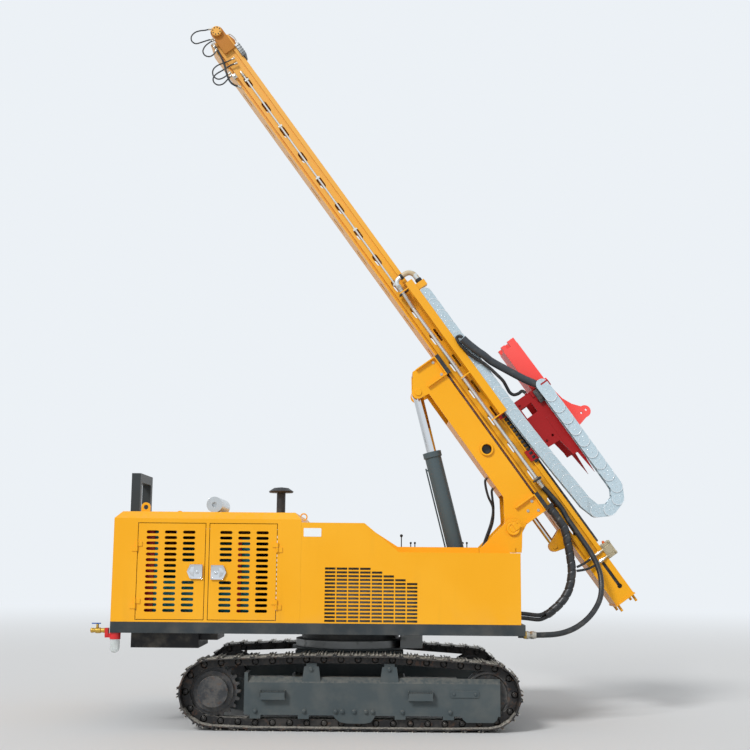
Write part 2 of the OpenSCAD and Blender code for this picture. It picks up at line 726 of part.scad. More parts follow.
// Pipe that moves outwards and then crosses the front rail to the drag chain's end
module mast_pipe() color(silver) leaning() {
    translate([pipe_n, pipe_y[0], pipe_low_t]) {
        cylinder(r = pipe_r, h = pipe_shift_t[0] - pipe_low_t);
        cylinder(r = 22, h = 101);
        for (t = [50, 1228]) translate([-20, -20, t]) cube([40, 20 - seat - web_half - pipe_y[0], 14]);
    }
    hull() for (i = [0, 1]) translate([pipe_n, pipe_y[i], pipe_shift_t[i]]) cylinder(r = pipe_r, h = 1);
    translate([pipe_n, pipe_y[1], 0]) {
        span = chain_low_n - pipe_n;
        translate([0, 0, pipe_shift_t[1]]) cylinder(r = elbow_pipe_r, h = elbow_t - pipe_shift_t[1]);
        translate([elbow_r, 0, elbow_t]) rotate([90, 0, 0]) rotate([0, 0, 90]) rotate_extrude(angle = 90)
            translate([elbow_r, 0]) circle(r = elbow_pipe_r);
        translate([elbow_r, 0, elbow_t + elbow_r]) rotate([0, 90, 0])
            cylinder(r = elbow_pipe_r, h = span - 2 * elbow_r);
        translate([span - elbow_r, 0, elbow_t]) rotate([90, 0, 0]) rotate_extrude(angle = 90)
            translate([elbow_r, 0]) circle(r = elbow_pipe_r);
        translate([span, 0, chain_fixed_t + 60 + seat]) cylinder(r = 25, h = elbow_t - chain_fixed_t - 60);
    }
    // Thin pipe above
    translate([slot_n, -web_half - 10, 2450]) cylinder(r = 9, h = 2550);
    for (t = [2460, 3110, 3730, 4360, 4930])
        box([slot_n - 20, -web_half - 20, t], [slot_n + 20, -web_half - seat, t + 16]);
}

// Drag chain: side plates that run on from link to link, cross bars, and on the outer side a cover on each
// link with a round head over a hollow heel

head_r = chain_height / 2;
function arc(x, r, from, to, n) = [for (k = [0:n]) let (a = from + (to - from) * k / n) [r * cos(a), x + r * sin(a)]];
// Cover of one link as an outline across and along the run, with its head towards positive values
module chain_cover(step) {
    spring = step / 2 - head_r * 0.55;
    polygon(concat(arc(spring, head_r, 0, 180, 4), arc(spring - step + 4, head_r, 180, 0, 4)));
}
chain_outer = chain_y[0];
module chain_run(n, t0, t1) {
    count = round((t1 - t0) / chain_link);
    step = (t1 - t0) / count;
    for (y = [chain_outer + 4, chain_y[1] - 12]) side_on(y, y + 12)
        translate([n - head_r, t0]) square([chain_height, t1 - t0]);
    side_on(chain_outer, chain_outer + 5) for (i = [0:count - 1])
        intersection() {
            translate([n, t0 + step * (i + 0.5)]) chain_cover(step);
            translate([n - head_r, t0]) square([chain_height, t1 - t0]);
        }
    for (i = [0:3:count - 1]) box([n - 40, chain_outer + 15, t0 + step * (i + 0.5) - 12],
                                 [n + 40, chain_y[1] - 11, t0 + step * (i + 0.5) + 12]);
}

module drag_chain_lower() color(silver) leaning() chain_run(chain_low_n, bend_t + seat, chain_fixed_t);
module drag_chain_upper() color(silver) leaning() chain_run(chain_high_n, bend_t + seat, chain_carriage_t);

bend_links = 5;
module drag_chain_bend() color(silver) leaning() {
    turn = 180 / bend_links;
    for (y = [chain_outer + 4, chain_y[1] - 12]) side_on(y, y + 12) translate([chain_mid_n, bend_t]) difference() {
        polygon([for (i = [0:bend_links])
            (chain_bend_r + head_r) / (i % bend_links == 0 ? 1 : cos(turn / 2)) * [-cos(turn * i), -sin(turn * i)]]);
        polygon([for (i = [0:bend_links]) (chain_bend_r - head_r) * [-cos(turn * i), -sin(turn * i)]]);
    }
    for (i = [0:bend_links - 1]) translate([chain_mid_n, 0, bend_t]) rotate([0, -turn * (i + 0.5), 0]) {
        side_on(chain_outer, chain_outer + 5) intersection() {
            translate([-chain_bend_r, 0]) chain_cover(chain_link);
            polygon([for (s = [0, -1, 1]) abs(s) * (chain_bend_r + head_r) * [-1, s * tan(turn / 2 - 0.1)]]);
        }
        if (i % 2 == 0)
            box([-chain_bend_r - 40, chain_outer + 15, -12], [-chain_bend_r + 40, chain_y[1] - 11, 12]);
    }
}

// Carriage

// Side plate as n and t, and the lengths along the mast where it reaches behind the front rail
plate_outline = [
    [620, 410], [706, 410], [830, 401], [858, 224], [900, 220], [919, -14], [939, 215], [940, 921], [620, 921]
];
claw_t = [[372, 500], [845, 921]];

module carriage() color(dark_red) leaning() {
    both_sides() {
        side_on(154, 168) difference() {
            union() {
                polygon(plate_outline);
                for (t = claw_t) polygon([[500, t[0] + 20], [640, t[0]], [640, t[1]], [500, t[1]]]);
            }
            translate([705, 733]) square([117, 100]);
            for (p = [[714, 865], [805, 476], [731, 464]]) translate(p) circle(r = 12);
        }
        // Shoe behind the mast's front rail
        for (t = claw_t) box([500, web_half + 3, t[0] + 30], [web[1] - seat, 155, t[1]]);
        box([850, 167, 224], [939, 170, 640]);
    }
    // Plates in front of the mast
    box([606, -155, 410], [624, 155, 921]);
    box([880, -155, 410], [900, 155, 921]);
    // Chain's anchor blocks
    box([623, -40, 480], [700, 40, 560]);
    // Fitting of the wrapped hoses
    translate([830, -161, 920]) cylinder(r = 13, h = 10);
    // Bracket that takes the end of the drag chain
    box([chain_high_n - 40, chain_y[0] + 5, chain_carriage_t + seat], [chain_high_n + 40, -167, chain_carriage_t + 60]);
    box([860, -182, chain_carriage_t + seat], [chain_high_n - 20, -153, chain_carriage_t + 60]);
    // Valve block at its upper end
    box([876, -180, 812], [942, -167, 914]);
}

lug_at = [1185, 484];
module hammer_bracket() color(red) leaning() difference() {
    union() {
        both_sides() side_on(110, 130) {
            polygon([[901, 420], [1060, 408], [1081, 410], [1170, 432], [1236, 500], [1180, 545], [1128, 610],
                     [1088, 700], [1068, 830], [1062, 900], [1058, 1365], [901, 1365]]);
            translate(lug_at) circle(r = 56);
            translate([1050, 900]) square([30, 44]);
        }
        box([901, -130, 420], [916, 130, 1365]);
        box([1040, -112, 760], [1058, 112, 1365]);
        // Stop blocks
        both_sides() {
            box([905, 85, 1340], [945, 130, 1412]);
            box([985, 85, 1340], [1055, 130, 1423]);
        }
    }
    across(lug_at[0] - 39, lug_at[1] + 4, 16, -200, 200);
    across(lug_at[0] + 18, lug_at[1] + 5, 10, -200, 200);
}

// Hoses: routes as points chosen by hand, from the slew axis's frame

bundle_route = [[1795, -206, 1855], [1838, -206, 1805], [1880, -207, 1745], [1923, -208, 1675], [1956, -210, 1521],
                [1974, -211, 1399], [1982, -215, 1297], [1964, -220, 1176], [1926, -225, 1085], [1862, -230, 1004],
                [1768, -235, 925], [1680, -240, 890], [1560, -240, 900], [1434, -240, 908]];
smooth_route = [[1741, -152, 2048], [1790, -155, 2000], [1898, -162, 1873], [1956, -172, 1769], [2022, -200, 1666],
                [2088, -225, 1563], [2144, -250, 1472], [2189, -275, 1381], [2217, -305, 1280], [2221, -340, 1180],
                [2202, -390, 1082], [2155, -440, 994], [2076, -510, 909], [1973, -580, 838], [1865, -630, 792],
                [1752, -660, 769], [1593, -680, 762], [1512, -680, 762]];
thin_route_a = [[1244.5, -40, 2136.5], [1226, -40, 2110], [1234, -40, 2040], [1256, -40, 1960], [1296, -36, 1860],
                [1278, -36, 1727], [1220, -36, 1563], [1170, -36, 1400], [1160, -36, 1250], [1160, -36, 1100]];
thin_route_b = [[1307.5, 40, 2047], [1294, 40, 2020], [1300, 40, 1950], [1308, 36, 1860], [1298, 36, 1727],
                [1240, 36, 1563], [1200, 36, 1400], [1196, 36, 1250], [1196, 36, 1100]];

sleeve_route = [[958, -210, 922], [956, -210, 938], [938, -213, 964], [881, -222, 1056], [802, -240, 1207], [731, -266, 1346],
                [703, -299, 1425], [676, -308, 1496], [646, -316, 1598], [632, -320, 1665]];
return_route = [[632, -320, 1674], [630, -318, 1692], [615, -305, 1706], [592, -293, 1700], [585, -290, 1640],
                [598, -290, 1540], [625, -289, 1450], [655, -287, 1385], [680, -284, 1300], [690, -280, 1252],
                [712, -262, 1150], [714, -235, 1100], [712, -215, 1060], [710, -205, 1019], [728, -195, 982],
                [774, -180, 966], [812, -168, 968], [829, -162, 948], [830, -161, 932]];

function unit(v) = v / norm(v);
function bend_point(p, i, t) =
    let (a = p[max(i - 1, 0)], b = p[i], c = p[i + 1], d = p[min(i + 2, len(p) - 1)])
    0.5 * ((2 * b) + (c - a) * t + (2 * a - 5 * b + 4 * c - d) * t * t + (3 * b - a - 3 * c + d) * t * t * t);
function smoothed(p, cuts) = concat([for (i = [0:len(p) - 2], k = [0:cuts - 1]) bend_point(p, i, k / cuts)],
                                    [p[len(p) - 1]]);

// Tube with flat ends along a route
module hose(route, d, cuts = 3, sides = 10) {
    p = smoothed(route, cuts);
    n = len(p);
    rings = [for (i = [0:n - 1])
        let (dir = unit(p[min(i + 1, n - 1)] - p[max(i - 1, 0)]), a = unit(cross(dir, [0.1, 1, 0.05])), b = cross(dir, a))
        for (k = [0:sides - 1]) p[i] + d / 2 * (a * cos(360 * k / sides) + b * sin(360 * k / sides))];
    walls = [for (i = [0:n - 2], k = [0:sides - 1])
        [i * sides + k, (i + 1) * sides + k, (i + 1) * sides + (k + 1) % sides, i * sides + (k + 1) % sides]];
    ends = [[for (k = [0:sides - 1]) k], [for (k = [0:sides - 1]) n * sides - 1 - k]];
    polyhedron(rings, concat(walls, ends));
}

module hose_bundle() color(dark) placed() hose(bundle_route, 76, 2);
module smooth_hose() color(dark) placed() hose(smooth_route, 48, 2);
module carriage_sleeve() color(dark) leaning() hose(sleeve_route, 70, 2);
module carriage_hoses() color(dark) leaning() hose(return_route, 30, 2);
module thin_hoses() color(dark) placed() {
    hose(thin_route_a, 22);
    hose(thin_route_b, 22);
}

track_right();
track_left();
track_frame_right();
track_frame_left();
sprocket_right();
sprocket_left();
idler_right();
idler_left();
car_body();
slew_ring();
deck_frame();
hood();
side_panel_right();
side_panel_left();
front_body();
boom_pedestals();
engine_block();
cooler_block();
muffler();
intake_stack();
mast_rest();
under_box();
air_separator();
separator_bowl();
control_levers();
door_right_rear();
door_right_front();
door_left_rear();
door_left_front();
boom();
slide_guides();
slide_barrel();
luff_barrel();
luff_rod();
mast();
mast_head();
feed_motor();
feed_chain();
slide_rod();
mast_pipe();
drag_chain_lower();
drag_chain_bend();
carriage();
hammer_bracket();
drag_chain_upper();
hose_bundle();
smooth_hose();
thin_hoses();
carriage_sleeve();
carriage_hoses();
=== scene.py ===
import math

import bmesh
import bpy
from mathutils import Matrix, Vector


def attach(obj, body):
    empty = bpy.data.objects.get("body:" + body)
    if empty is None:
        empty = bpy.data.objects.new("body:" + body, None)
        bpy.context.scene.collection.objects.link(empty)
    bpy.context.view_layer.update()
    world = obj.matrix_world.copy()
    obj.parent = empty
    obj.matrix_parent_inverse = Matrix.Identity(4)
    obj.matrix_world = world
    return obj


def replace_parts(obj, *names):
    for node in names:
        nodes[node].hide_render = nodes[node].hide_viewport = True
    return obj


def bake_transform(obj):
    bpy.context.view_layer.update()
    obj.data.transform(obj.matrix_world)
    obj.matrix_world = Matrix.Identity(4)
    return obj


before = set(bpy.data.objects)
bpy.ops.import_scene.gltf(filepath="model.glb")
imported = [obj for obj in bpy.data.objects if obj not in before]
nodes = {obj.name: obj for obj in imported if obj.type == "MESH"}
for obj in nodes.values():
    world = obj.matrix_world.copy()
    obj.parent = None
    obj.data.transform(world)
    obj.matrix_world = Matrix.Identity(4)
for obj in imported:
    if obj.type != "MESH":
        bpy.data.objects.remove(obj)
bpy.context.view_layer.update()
print("frame loaded,", len(nodes), "nodes")

# Places are given from the slew axis, or from the boom's pin along and across the leaning mast
rig = {
    "middleX": 0.224048,
    "pinX": 1.46,
    "pinZ": 1.67,
    "lean": math.radians(35.7),
}
pinPlace = Matrix.Translation((rig["pinX"] - rig["middleX"], 0, rig["pinZ"]))
mastPlace = pinPlace @ Matrix.Rotation(-rig["lean"], 4, "Y")


def fromSlew(x, y, z):
    return Vector((x - rig["middleX"], y, z))


def onMast(forward, y, up):
    return mastPlace @ Vector((forward, y, up))


def turn(degrees, axis):
    return Matrix.Rotation(math.radians(degrees), 4, axis)


def at(x, y, z):
    return Matrix.Translation((x, y, z))


def atSlew(x, y, z):
    return Matrix.Translation(fromSlew(x, y, z))


def alongMast(forward, y, up):
    return mastPlace @ at(forward, y, up)


# Places whose Z points out of the machine's or the mast's side
def onSide(x, y, z):
    return atSlew(x, y, z) @ turn(90 if y < 0 else -90, "X")


def onMastSide(forward, y, up):
    return alongMast(forward, y, up) @ turn(90 if y < 0 else -90, "X")


sides = (("Right", -1), ("Left", 1))


# Camera where the photograph was taken from
cameraSettings = {
    "lens": 56.43,
    "place": (-0.0223, -10.9, 1.393),
    "pitch": 8.877,
    "roll": 0.506,
}


def makeCamera():
    data = bpy.data.cameras.new("camera")
    data.lens = cameraSettings["lens"]
    data.sensor_width = 36
    data.clip_end = 200
    camera = bpy.data.objects.new("camera", data)
    camera.matrix_world = (
        Matrix.Translation(cameraSettings["place"])
        @ turn(90 + cameraSettings["pitch"], "X")
        @ turn(cameraSettings["roll"], "Z")
    )
    bpy.context.scene.collection.objects.link(camera)
    bpy.context.scene.camera = camera


makeCamera()
print("camera placed")


# A shader socket that can stand in sums
class Signal:
    def __init__(self, finish, socket):
        self.finish = finish
        self.socket = socket

    def combine(self, operation, other, swapped=False):
        pair = {0: other, 1: self} if swapped else {0: self, 1: other}
        return self.finish.add("ShaderNodeMath", {"operation": operation}, pair)

    def __add__(self, other):
        return self.combine("ADD", other)

    def __sub__(self, other):
        return self.combine("SUBTRACT", other)

    def __rsub__(self, other):
        return self.combine("SUBTRACT", other, True)

    def __mul__(self, other):
        return self.combine("MULTIPLY", other)

    def wave(self):
        return self.finish.add("ShaderNodeMath", {"operation": "SINE"}, {0: self})

    def between(self, low, high):
        settings = {"interpolation_type": "SMOOTHSTEP"}
        values = {"Value": self, "From Min": low, "From Max": high}
        return self.finish.add("ShaderNodeMapRange", settings, values)


# Nodes of a material or of the world, and the ways to add to them
class Finish:
    def __init__(self, name, kind="materials", output="ShaderNodeOutputMaterial"):
        self.owner = getattr(bpy.data, kind).new(name)
        self.owner.use_nodes = True
        self.tree = self.owner.node_tree
        self.tree.nodes.clear()
        self.output = self.tree.nodes.new(output)

    def add(self, kind, settings=None, values=None, output=0):
        node = self.tree.nodes.new(kind)
        for key, value in (settings or {}).items():
            setattr(node, key, value)
        for key, value in (values or {}).items():
            if isinstance(value, Signal):
                self.tree.links.new(value.socket, node.inputs[key])
            else:
                node.inputs[key].default_value = value
        return Signal(self, node.outputs[output])

    def place(self, stretch=(1, 1, 1)):
        coords = self.add("ShaderNodeTexCoord", output=3)
        return self.add("ShaderNodeMapping", {}, {"Vector": coords, "Scale": stretch})

    def noise(self, scale, detail, stretch=(1, 1, 1)):
        values = {"Vector": self.place(stretch), "Scale": scale, "Detail": detail, "Roughness": 0.55}
        return self.add("ShaderNodeTexNoise", {}, values)

    # Random colour of each cell
    def cells(self, scale):
        return self.add("ShaderNodeTexVoronoi", {}, {"Vector": self.place(), "Scale": scale}, 1)

    def mix(self, share, first, second):
        first = first if isinstance(first, Signal) else (*first, 1)
        second = second if isinstance(second, Signal) else (*second, 1)
        return self.add("ShaderNodeMix", {"data_type": "RGBA"}, {0: share, 6: first, 7: second}, 2)

    def facing(self):
        normal = self.add("ShaderNodeNewGeometry", output=1)
        return self.add("ShaderNodeSeparateXYZ", {}, {0: normal}, 2)

    def height(self, axis=2):
        coords = self.add("ShaderNodeTexCoord", output=3)
        return self.add("ShaderNodeSeparateXYZ", {}, {0: coords}, axis)

    # Distance from the middle plane
    def sideways(self):
        return self.add("ShaderNodeMath", {"operation": "ABSOLUTE"}, {0: self.height(1)})

    def rounded(self, radius):
        return self.add("ShaderNodeBevel", {"samples": 4}, {"Radius": radius})

    # 1 near an edge, 0 on flat ground
    def edge(self, roundedNormal):
        normal = self.add("ShaderNodeNewGeometry", output=1)
        likeness = self.add(
            "ShaderNodeVectorMath", {"operation": "DOT_PRODUCT"}, {0: roundedNormal, 1: normal}, 1
        )
        return 1 - likeness.between(0.8, 0.985)

    def bump(self, height, depth, strength=1.0, normal=None):
        values = {"Height": height, "Distance": depth, "Strength": strength}
        if normal is not None:
            values["Normal"] = normal
        return self.add("ShaderNodeBump", {}, values)

    def show(self, shader):
        self.tree.links.new(shader.socket, self.output.inputs["Surface"])
        return self.owner

    def close(self, values):
        return self.show(self.add("ShaderNodeBsdfPrincipled", {}, values))


def linear(red, green, blue):
    return tuple(((v / 255 + 0.055) / 1.055) ** 2.4 for v in (red, green, blue))


dustColour = linear(176, 166, 150)
grimeColour = linear(70, 62, 54)


# Sprayed paint: uneven fade, streaks, dust on top, chips at edges. A share of recess shade paints shade,
# darkening what lies between the mast's flanges lower down, and a painted haze of light pales the mast's
# upper end
def paint(name, colour, faded, rough, dust, grime, chips=0.4, chipColour=(0.2, 0.2, 0.21), recessShade=0):
    finish = Finish(name)
    fade = finish.noise(1.1, 3).between(0.35, 0.72) * 0.7
    speckle = finish.noise(34, 4)
    base = finish.mix(fade, colour, faded)
    streaks = finish.noise(7, 4, (1, 1, 0.13)).between(0.56, 0.8) * grime
    base = finish.mix(streaks, base, tuple(0.45 * a + 0.12 * b for a, b in zip(colour, grimeColour)))
    # Painted shade: what lies between the mast's flanges is darker, lower down the mast
    if recessShade:
        low = 1 - finish.height().between(2.4, 4.4)
        inner = 1 - finish.sideways().between(0.134, 0.147)
        shade = inner * finish.noise(5, 5).between(0.3, 0.7) * low * recessShade
        base = finish.mix(shade, base, tuple(0.22 * v for v in colour))
        # Painted haze of light: paler towards the mast's upper end
        base = finish.mix(finish.height().between(3.0, 5.6) * 0.6, base, linear(232, 176, 104))
    low = 1 - finish.height().between(0.35, 1.15)
    splash = low * finish.noise(5, 5).between(0.4, 0.7) * grime * 1.4
    base = finish.mix(splash, base, dustColour)
    top = finish.facing().between(0.55, 0.95) * speckle.between(0.3, 0.65) * dust
    base = finish.mix(top, base, dustColour)
    roundedNormal = finish.rounded(0.004)
    chipped = finish.edge(roundedNormal) * finish.noise(46, 5).between(0.58, 0.66) * chips
    base = finish.mix(chipped, base, chipColour)
    wear = top * 0.35 + splash * 0.3 + streaks * 0.2 + chipped * 0.2
    relief = finish.noise(260, 2) * 0.12 - chipped
    return finish.close({
        "Base Color": base,
        "Roughness": wear + speckle * 0.08 + rough,
        "Normal": finish.bump(relief, 0.0006, 0.6, roundedNormal),
        "Coat Weight": 0.12,
        "Coat Roughness": 0.2,
        "Specular IOR Level": 0.25,
    })


yellows = (linear(242, 169, 16), linear(247, 178, 36))
yellowPaint = paint("yellow paint", *yellows, 0.34, 0.25, 0.1)
# Mast paint with painted shade between its flanges and a painted haze of light up high
mastPaint = paint("mast yellow paint", *yellows, 0.34, 0.25, 0.1, recessShade=0.55)
# Darker brown head paint: painted shade on the mast head's plates, with dust and grime on top
headShadePaint = paint("head paint with painted shade", linear(178, 112, 44), linear(214, 146, 60), 0.5, 0.3, 0.4)
bluePaint = paint("lever blue paint", linear(30, 84, 160), linear(44, 100, 176), 0.4, 0.2, 0.1, 0.2)
sillGreys = (linear(46, 52, 55), linear(56, 63, 67))
sillPaint = paint("sill grey paint", *sillGreys, 0.46, 0.15, 0.15, 0.5, (0.25, 0.25, 0.26))
framePaint = paint("track frame paint", linear(66, 75, 78), linear(74, 83, 86), 0.46, 0.45, 0.05, 0.5)
barrelPaint = paint("cylinder paint", linear(66, 80, 86), linear(80, 94, 100), 0.4, 0.2, 0.2, 0.3)
redPaint = paint("bright red paint", linear(255, 78, 72), linear(255, 104, 98), 0.36, 0.12, 0.1, 0.35)
darkRedPaint = paint("dark red paint", linear(158, 16, 20), linear(176, 26, 30), 0.4, 0.1, 0.15, 0.4)
tealPaint = paint("engine teal paint", linear(24, 128, 140), linear(34, 142, 150), 0.45, 0.4, 0.3, 0.3)
blacks = (linear(22, 23, 26), linear(34, 35, 38))
blackPaint = paint("black paint", *blacks, 0.42, 0.25, 0.3, 0.5, (0.25, 0.25, 0.25))


# Hot-dip zinc with its crystal flakes
def galvanised(name, light, dark, flake):
    finish = Finish(name)
    tone = finish.cells(flake)
    grey = finish.add("ShaderNodeSeparateColor", {}, {0: tone})
    cloudy = finish.noise(6, 4)
    base = finish.mix(grey.between(0.1, 0.9) * 0.45 + cloudy * 0.4, light, dark)
    stains = finish.noise(14, 5, (1, 1, 0.5)).between(0.6, 0.75) * 0.35
    base = finish.mix(stains, base, linear(150, 152, 150))
    roundedNormal = finish.rounded(0.002)
    return finish.close({
        "Base Color": base,
        "Metallic": 0.55,
        "Roughness": grey * 0.16 + stains * 0.3 + 0.3,
        "Normal": finish.bump(grey * 0.5 + cloudy, 0.0005, 0.5, roundedNormal),
    })


zinc = galvanised("galvanised steel", linear(206, 222, 230), linear(172, 192, 201), 120)
pipeZinc = galvanised("galvanised pipe", linear(226, 230, 228), linear(196, 202, 202), 190)


# Bare or plated metal
def plated(name, colour, rough, stain):
    finish = Finish(name)
    lines = finish.noise(40, 4)
    stains = finish.noise(12, 4).between(0.55, 0.8) * stain
    base = finish.mix(stains, colour, tuple(v * 0.45 for v in colour))
    return finish.close({
        "Base Color": base,
        "Metallic": 1.0,
        "Roughness": lines * 0.14 + stains * 0.5 + rough,
        "Normal": finish.bump(lines, 0.0003, 0.35, finish.rounded(0.0015)),
    })


chrome = plated("chrome", linear(222, 226, 230), 0.06, 0.1)
# Bright steel of the chain's rivets, and of the painted highlight on its links' heads
rivetAndHighlightSteel = plated("bright rivet and painted highlight", linear(236, 240, 242), 0.22, 0.1)
boltSteel = plated("zinc plated bolt", linear(196, 192, 182), 0.28, 0.35)
castAlloy = plated("cast alloy", linear(190, 178, 150), 0.42, 0.4)
wornEdge = plated("worn grouser edge", linear(196, 190, 178), 0.45, 0.6)
ringSteel = plated("machined ring steel", linear(140, 142, 142), 0.4, 0.6)
muffleSteel = plated("polished steel", linear(204, 208, 210), 0.2, 0.35)
brass = plated("brass", linear(206, 170, 84), 0.3, 0.3)


# Worn steel of the tracks: dark, with dust in the corners and bright rubbed edges; upward faces are paler
# with dust and a painted highlight
def trackSteel(name, colour, dustShare, topDustAndHighlight=0.2):
    finish = Finish(name)
    patches = finish.noise(9, 5)
    fine = finish.noise(60, 4)
    base = finish.mix(patches.between(0.35, 0.7), colour, tuple(v * 1.9 for v in colour))
    dusty = (patches * 0.6 + fine * 0.4).between(0.44, 0.62) * dustShare
    base = finish.mix(dusty, base, linear(116, 108, 98))
    rust = finish.noise(21, 4).between(0.56, 0.7) * 0.5
    base = finish.mix(rust, base, linear(96, 66, 46))
    roundedNormal = finish.rounded(0.004)
    rubbed = finish.edge(roundedNormal) * fine.between(0.35, 0.6) * 0.7
    base = finish.mix(rubbed, base, linear(168, 162, 152))
    # Upward faces paler: partly dust, partly a painted highlight where light falls on top
    lit = finish.facing().between(0.35, 0.8) * fine.between(0.3, 0.6) * topDustAndHighlight
    base = finish.mix(lit, base, linear(206, 200, 188))
    return finish.close({
        "Base Color": base,
        "Metallic": rubbed * 0.5 + 0.2,
        "Roughness": dusty * 0.3 + 0.48 - rubbed * 0.15,
        "Normal": finish.bump(fine + patches, 0.0012, 0.6, roundedNormal),
    })


# The shoes' upward faces carry the most dust and painted highlight
shoeSteel = trackSteel("track steel", linear(26, 26, 28), 0.25, 0.95)
linkSteel = trackSteel("link steel", linear(20, 20, 22), 0.15, 0.25)
wheelSteel = trackSteel("wheel steel", linear(46, 48, 51), 0.35)


# Rubber, plastic and printed film
def rubber(name, colour, rough=0.5, dusty=0.25):
    finish = Finish(name)
    film = finish.noise(16, 5).between(0.5, 0.75) * dusty
    fine = finish.noise(150, 3)
    return finish.close({
        "Base Color": finish.mix(film, colour, linear(104, 100, 94)),
        "Roughness": film * 0.4 + fine * 0.12 + rough,
        "Normal": finish.bump(fine, 0.0003, 0.5),
    })


# Hose finishes follow the hose: U runs along it in metres, V goes round it once
def hoseFinish(name, colour, rough, rings=0, depth=0.001, spiral=0):
    finish = Finish(name)
    uv = finish.add("ShaderNodeUVMap", {"uv_map": "UVMap"})
    along = finish.add("ShaderNodeSeparateXYZ", {}, {0: uv}, 0)
    around = finish.add("ShaderNodeSeparateXYZ", {}, {0: uv}, 1)
    film = finish.noise(18, 5).between(0.48, 0.74) * 0.3
    base = finish.mix(film, colour, linear(112, 108, 100))
    relief = finish.noise(170, 3) * 0.4
    if rings:
        ribs = ((along * rings + around * spiral) * (2 * math.pi)).wave()
        # Grooves between the ribs are darker: painted shade in the creases
        base = finish.mix(ribs.between(-0.9, -0.2) * 0.5 + 0.5, tuple(v * 0.3 for v in colour), base)
        relief = relief + ribs
    return finish.close({
        "Base Color": base,
        "Roughness": film * 0.3 + rough,
        "Normal": finish.bump(relief, depth, 0.7),
    })


rubberBlack = rubber("black rubber", linear(26, 27, 29))
plasticBlack = rubber("black plastic", linear(34, 35, 38), 0.4)
smoothHoseRubber = hoseFinish("smooth hose rubber", linear(36, 39, 42), 0.38)
wrappedHoseRubber = hoseFinish("wrapped hose", linear(28, 29, 31), 0.42, 70, 0.0012, 1)
guardHoseRubber = hoseFinish("spiral guard", linear(40, 43, 47), 0.36)
sleeveFabric = hoseFinish("woven sleeve", linear(52, 58, 64), 0.55, 420, 0.0004)
beigeSleeve = hoseFinish("beige hose", linear(196, 176, 142), 0.45, 120, 0.0006)
orangePlastic = rubber("orange plastic", linear(222, 104, 34), 0.35, 0.1)
redPlastic = rubber("red plastic", linear(206, 34, 36), 0.35, 0.1)
labelWhite = rubber("blank label", linear(232, 236, 238), 0.45, 0.1)
finGrey = rubber("cooler fins", linear(120, 120, 116), 0.6, 0.5)


def clearBowl():
    finish = Finish("clear bowl")
    haze = finish.noise(22, 4).between(0.35, 0.75)
    return finish.close({
        "Base Color": finish.mix(haze, linear(226, 232, 230), linear(190, 200, 198)),
        "Roughness": haze * 0.2 + 0.12,
        "Alpha": haze * 0.25 + 0.45,
        "Coat Weight": 0.6,
    })


bowlPlastic = clearBowl()

# Finish of each node of the frame; the rest is yellow
nodeFinishes = [
    (shoeSteel, "track_right track_left"),
    (framePaint, "track_frame_right track_frame_left car_body"),
    (wheelSteel, "sprocket_right sprocket_left idler_right idler_left feed_chain"),
    (ringSteel, "slew_ring"),
    (sillPaint, "deck_frame mast_rest slide_barrel"),
    (tealPaint, "engine_block"),
    (finGrey, "cooler_block"),
    (muffleSteel, "muffler"),
    (plasticBlack, "intake_stack slide_guides"),
    (blackPaint, "under_box control_levers"),
    (redPlastic, "air_separator"),
    (bowlPlastic, "separator_bowl"),
    (barrelPaint, "luff_barrel"),
    (chrome, "luff_rod slide_rod"),
    (castAlloy, "feed_motor"),
    (mastPaint, "mast"),
    (pipeZinc, "mast_pipe"),
    (zinc, "drag_chain_lower drag_chain_bend drag_chain_upper"),
    (darkRedPaint, "carriage"),
    (redPaint, "hammer_bracket"),
]


def dressNodes():
    finishOf = {name: finish for finish, names in nodeFinishes for name in names.split()}
    for name, node in nodes.items():
        for slot in node.material_slots:
            slot.material = finishOf.get(name, yellowPaint)


dressNodes()
print("materials on the frame's nodes")


# Modelling helpers
def addBox(bm, low, high, place=Matrix()):
    low, high = Vector(low), Vector(high)
    matrix = place @ Matrix.Translation((low + high) / 2) @ Matrix.Diagonal((*(high - low), 1))
    bmesh.ops.create_cube(bm, size=1, matrix=matrix)


def addRod(bm, radius, length, place, sides=24, tip=None):
    bmesh.ops.create_cone(
        bm,
        cap_ends=True,
        segments=sides,
        radius1=radius,
        radius2=radius if tip is None else tip,
        depth=length,
        matrix=place @ at(0, 0, length / 2),
    )


# Hexagon head on a washer, standing up the place's Z
def addBolt(bm, place, across, height, washer=True):
    if washer:
        addRod(bm, across * 0.82, 0.002, place, 12)
    addRod(bm, across / 1.732, height, place, 6, across / 1.82)


# Profile of radius and height spun about the place's Z
def addLathe(bm, profile, place, sides=32):
    verts = [bm.verts.new(place @ Vector((r, 0, z))) for r, z in profile]
    edges = [bm.edges.new(pair) for pair in zip(verts, verts[1:])]
    bmesh.ops.spin(
        bm,
        geom=verts + edges,
        cent=place.translation,
        axis=place.to_3x3() @ Vector((0, 0, 1)),
        angle=2 * math.pi,
        steps=sides,
        use_merge=True,
    )
    bmesh.ops.remove_doubles(bm, verts=bm.verts[:], dist=0.00002)


# Flat outline raised along the place's Z
def addPlate(bm, outline, thickness, place):
    verts = [bm.verts.new(place @ Vector((x, y, 0))) for x, y in outline]
    face = bm.faces.new(verts)
    raised = bmesh.ops.extrude_face_region(bm, geom=[face])["geom"]
    moved = [v for v in raised if isinstance(v, bmesh.types.BMVert)]
    offset = place.to_3x3() @ Vector((0, 0, thickness))
    bmesh.ops.translate(bm, verts=moved, vec=offset)
    return verts + moved


def bevelSharp(bm, width, segments=2, angle=40):
    limit = math.radians(angle)
    sharp = [e for e in bm.edges if len(e.link_faces) == 2 and e.calc_face_angle() > limit]
    bmesh.ops.bevel(
        bm, geom=sharp, offset=width, affect="EDGES", segments=segments, profile=0.5, material=-1
    )


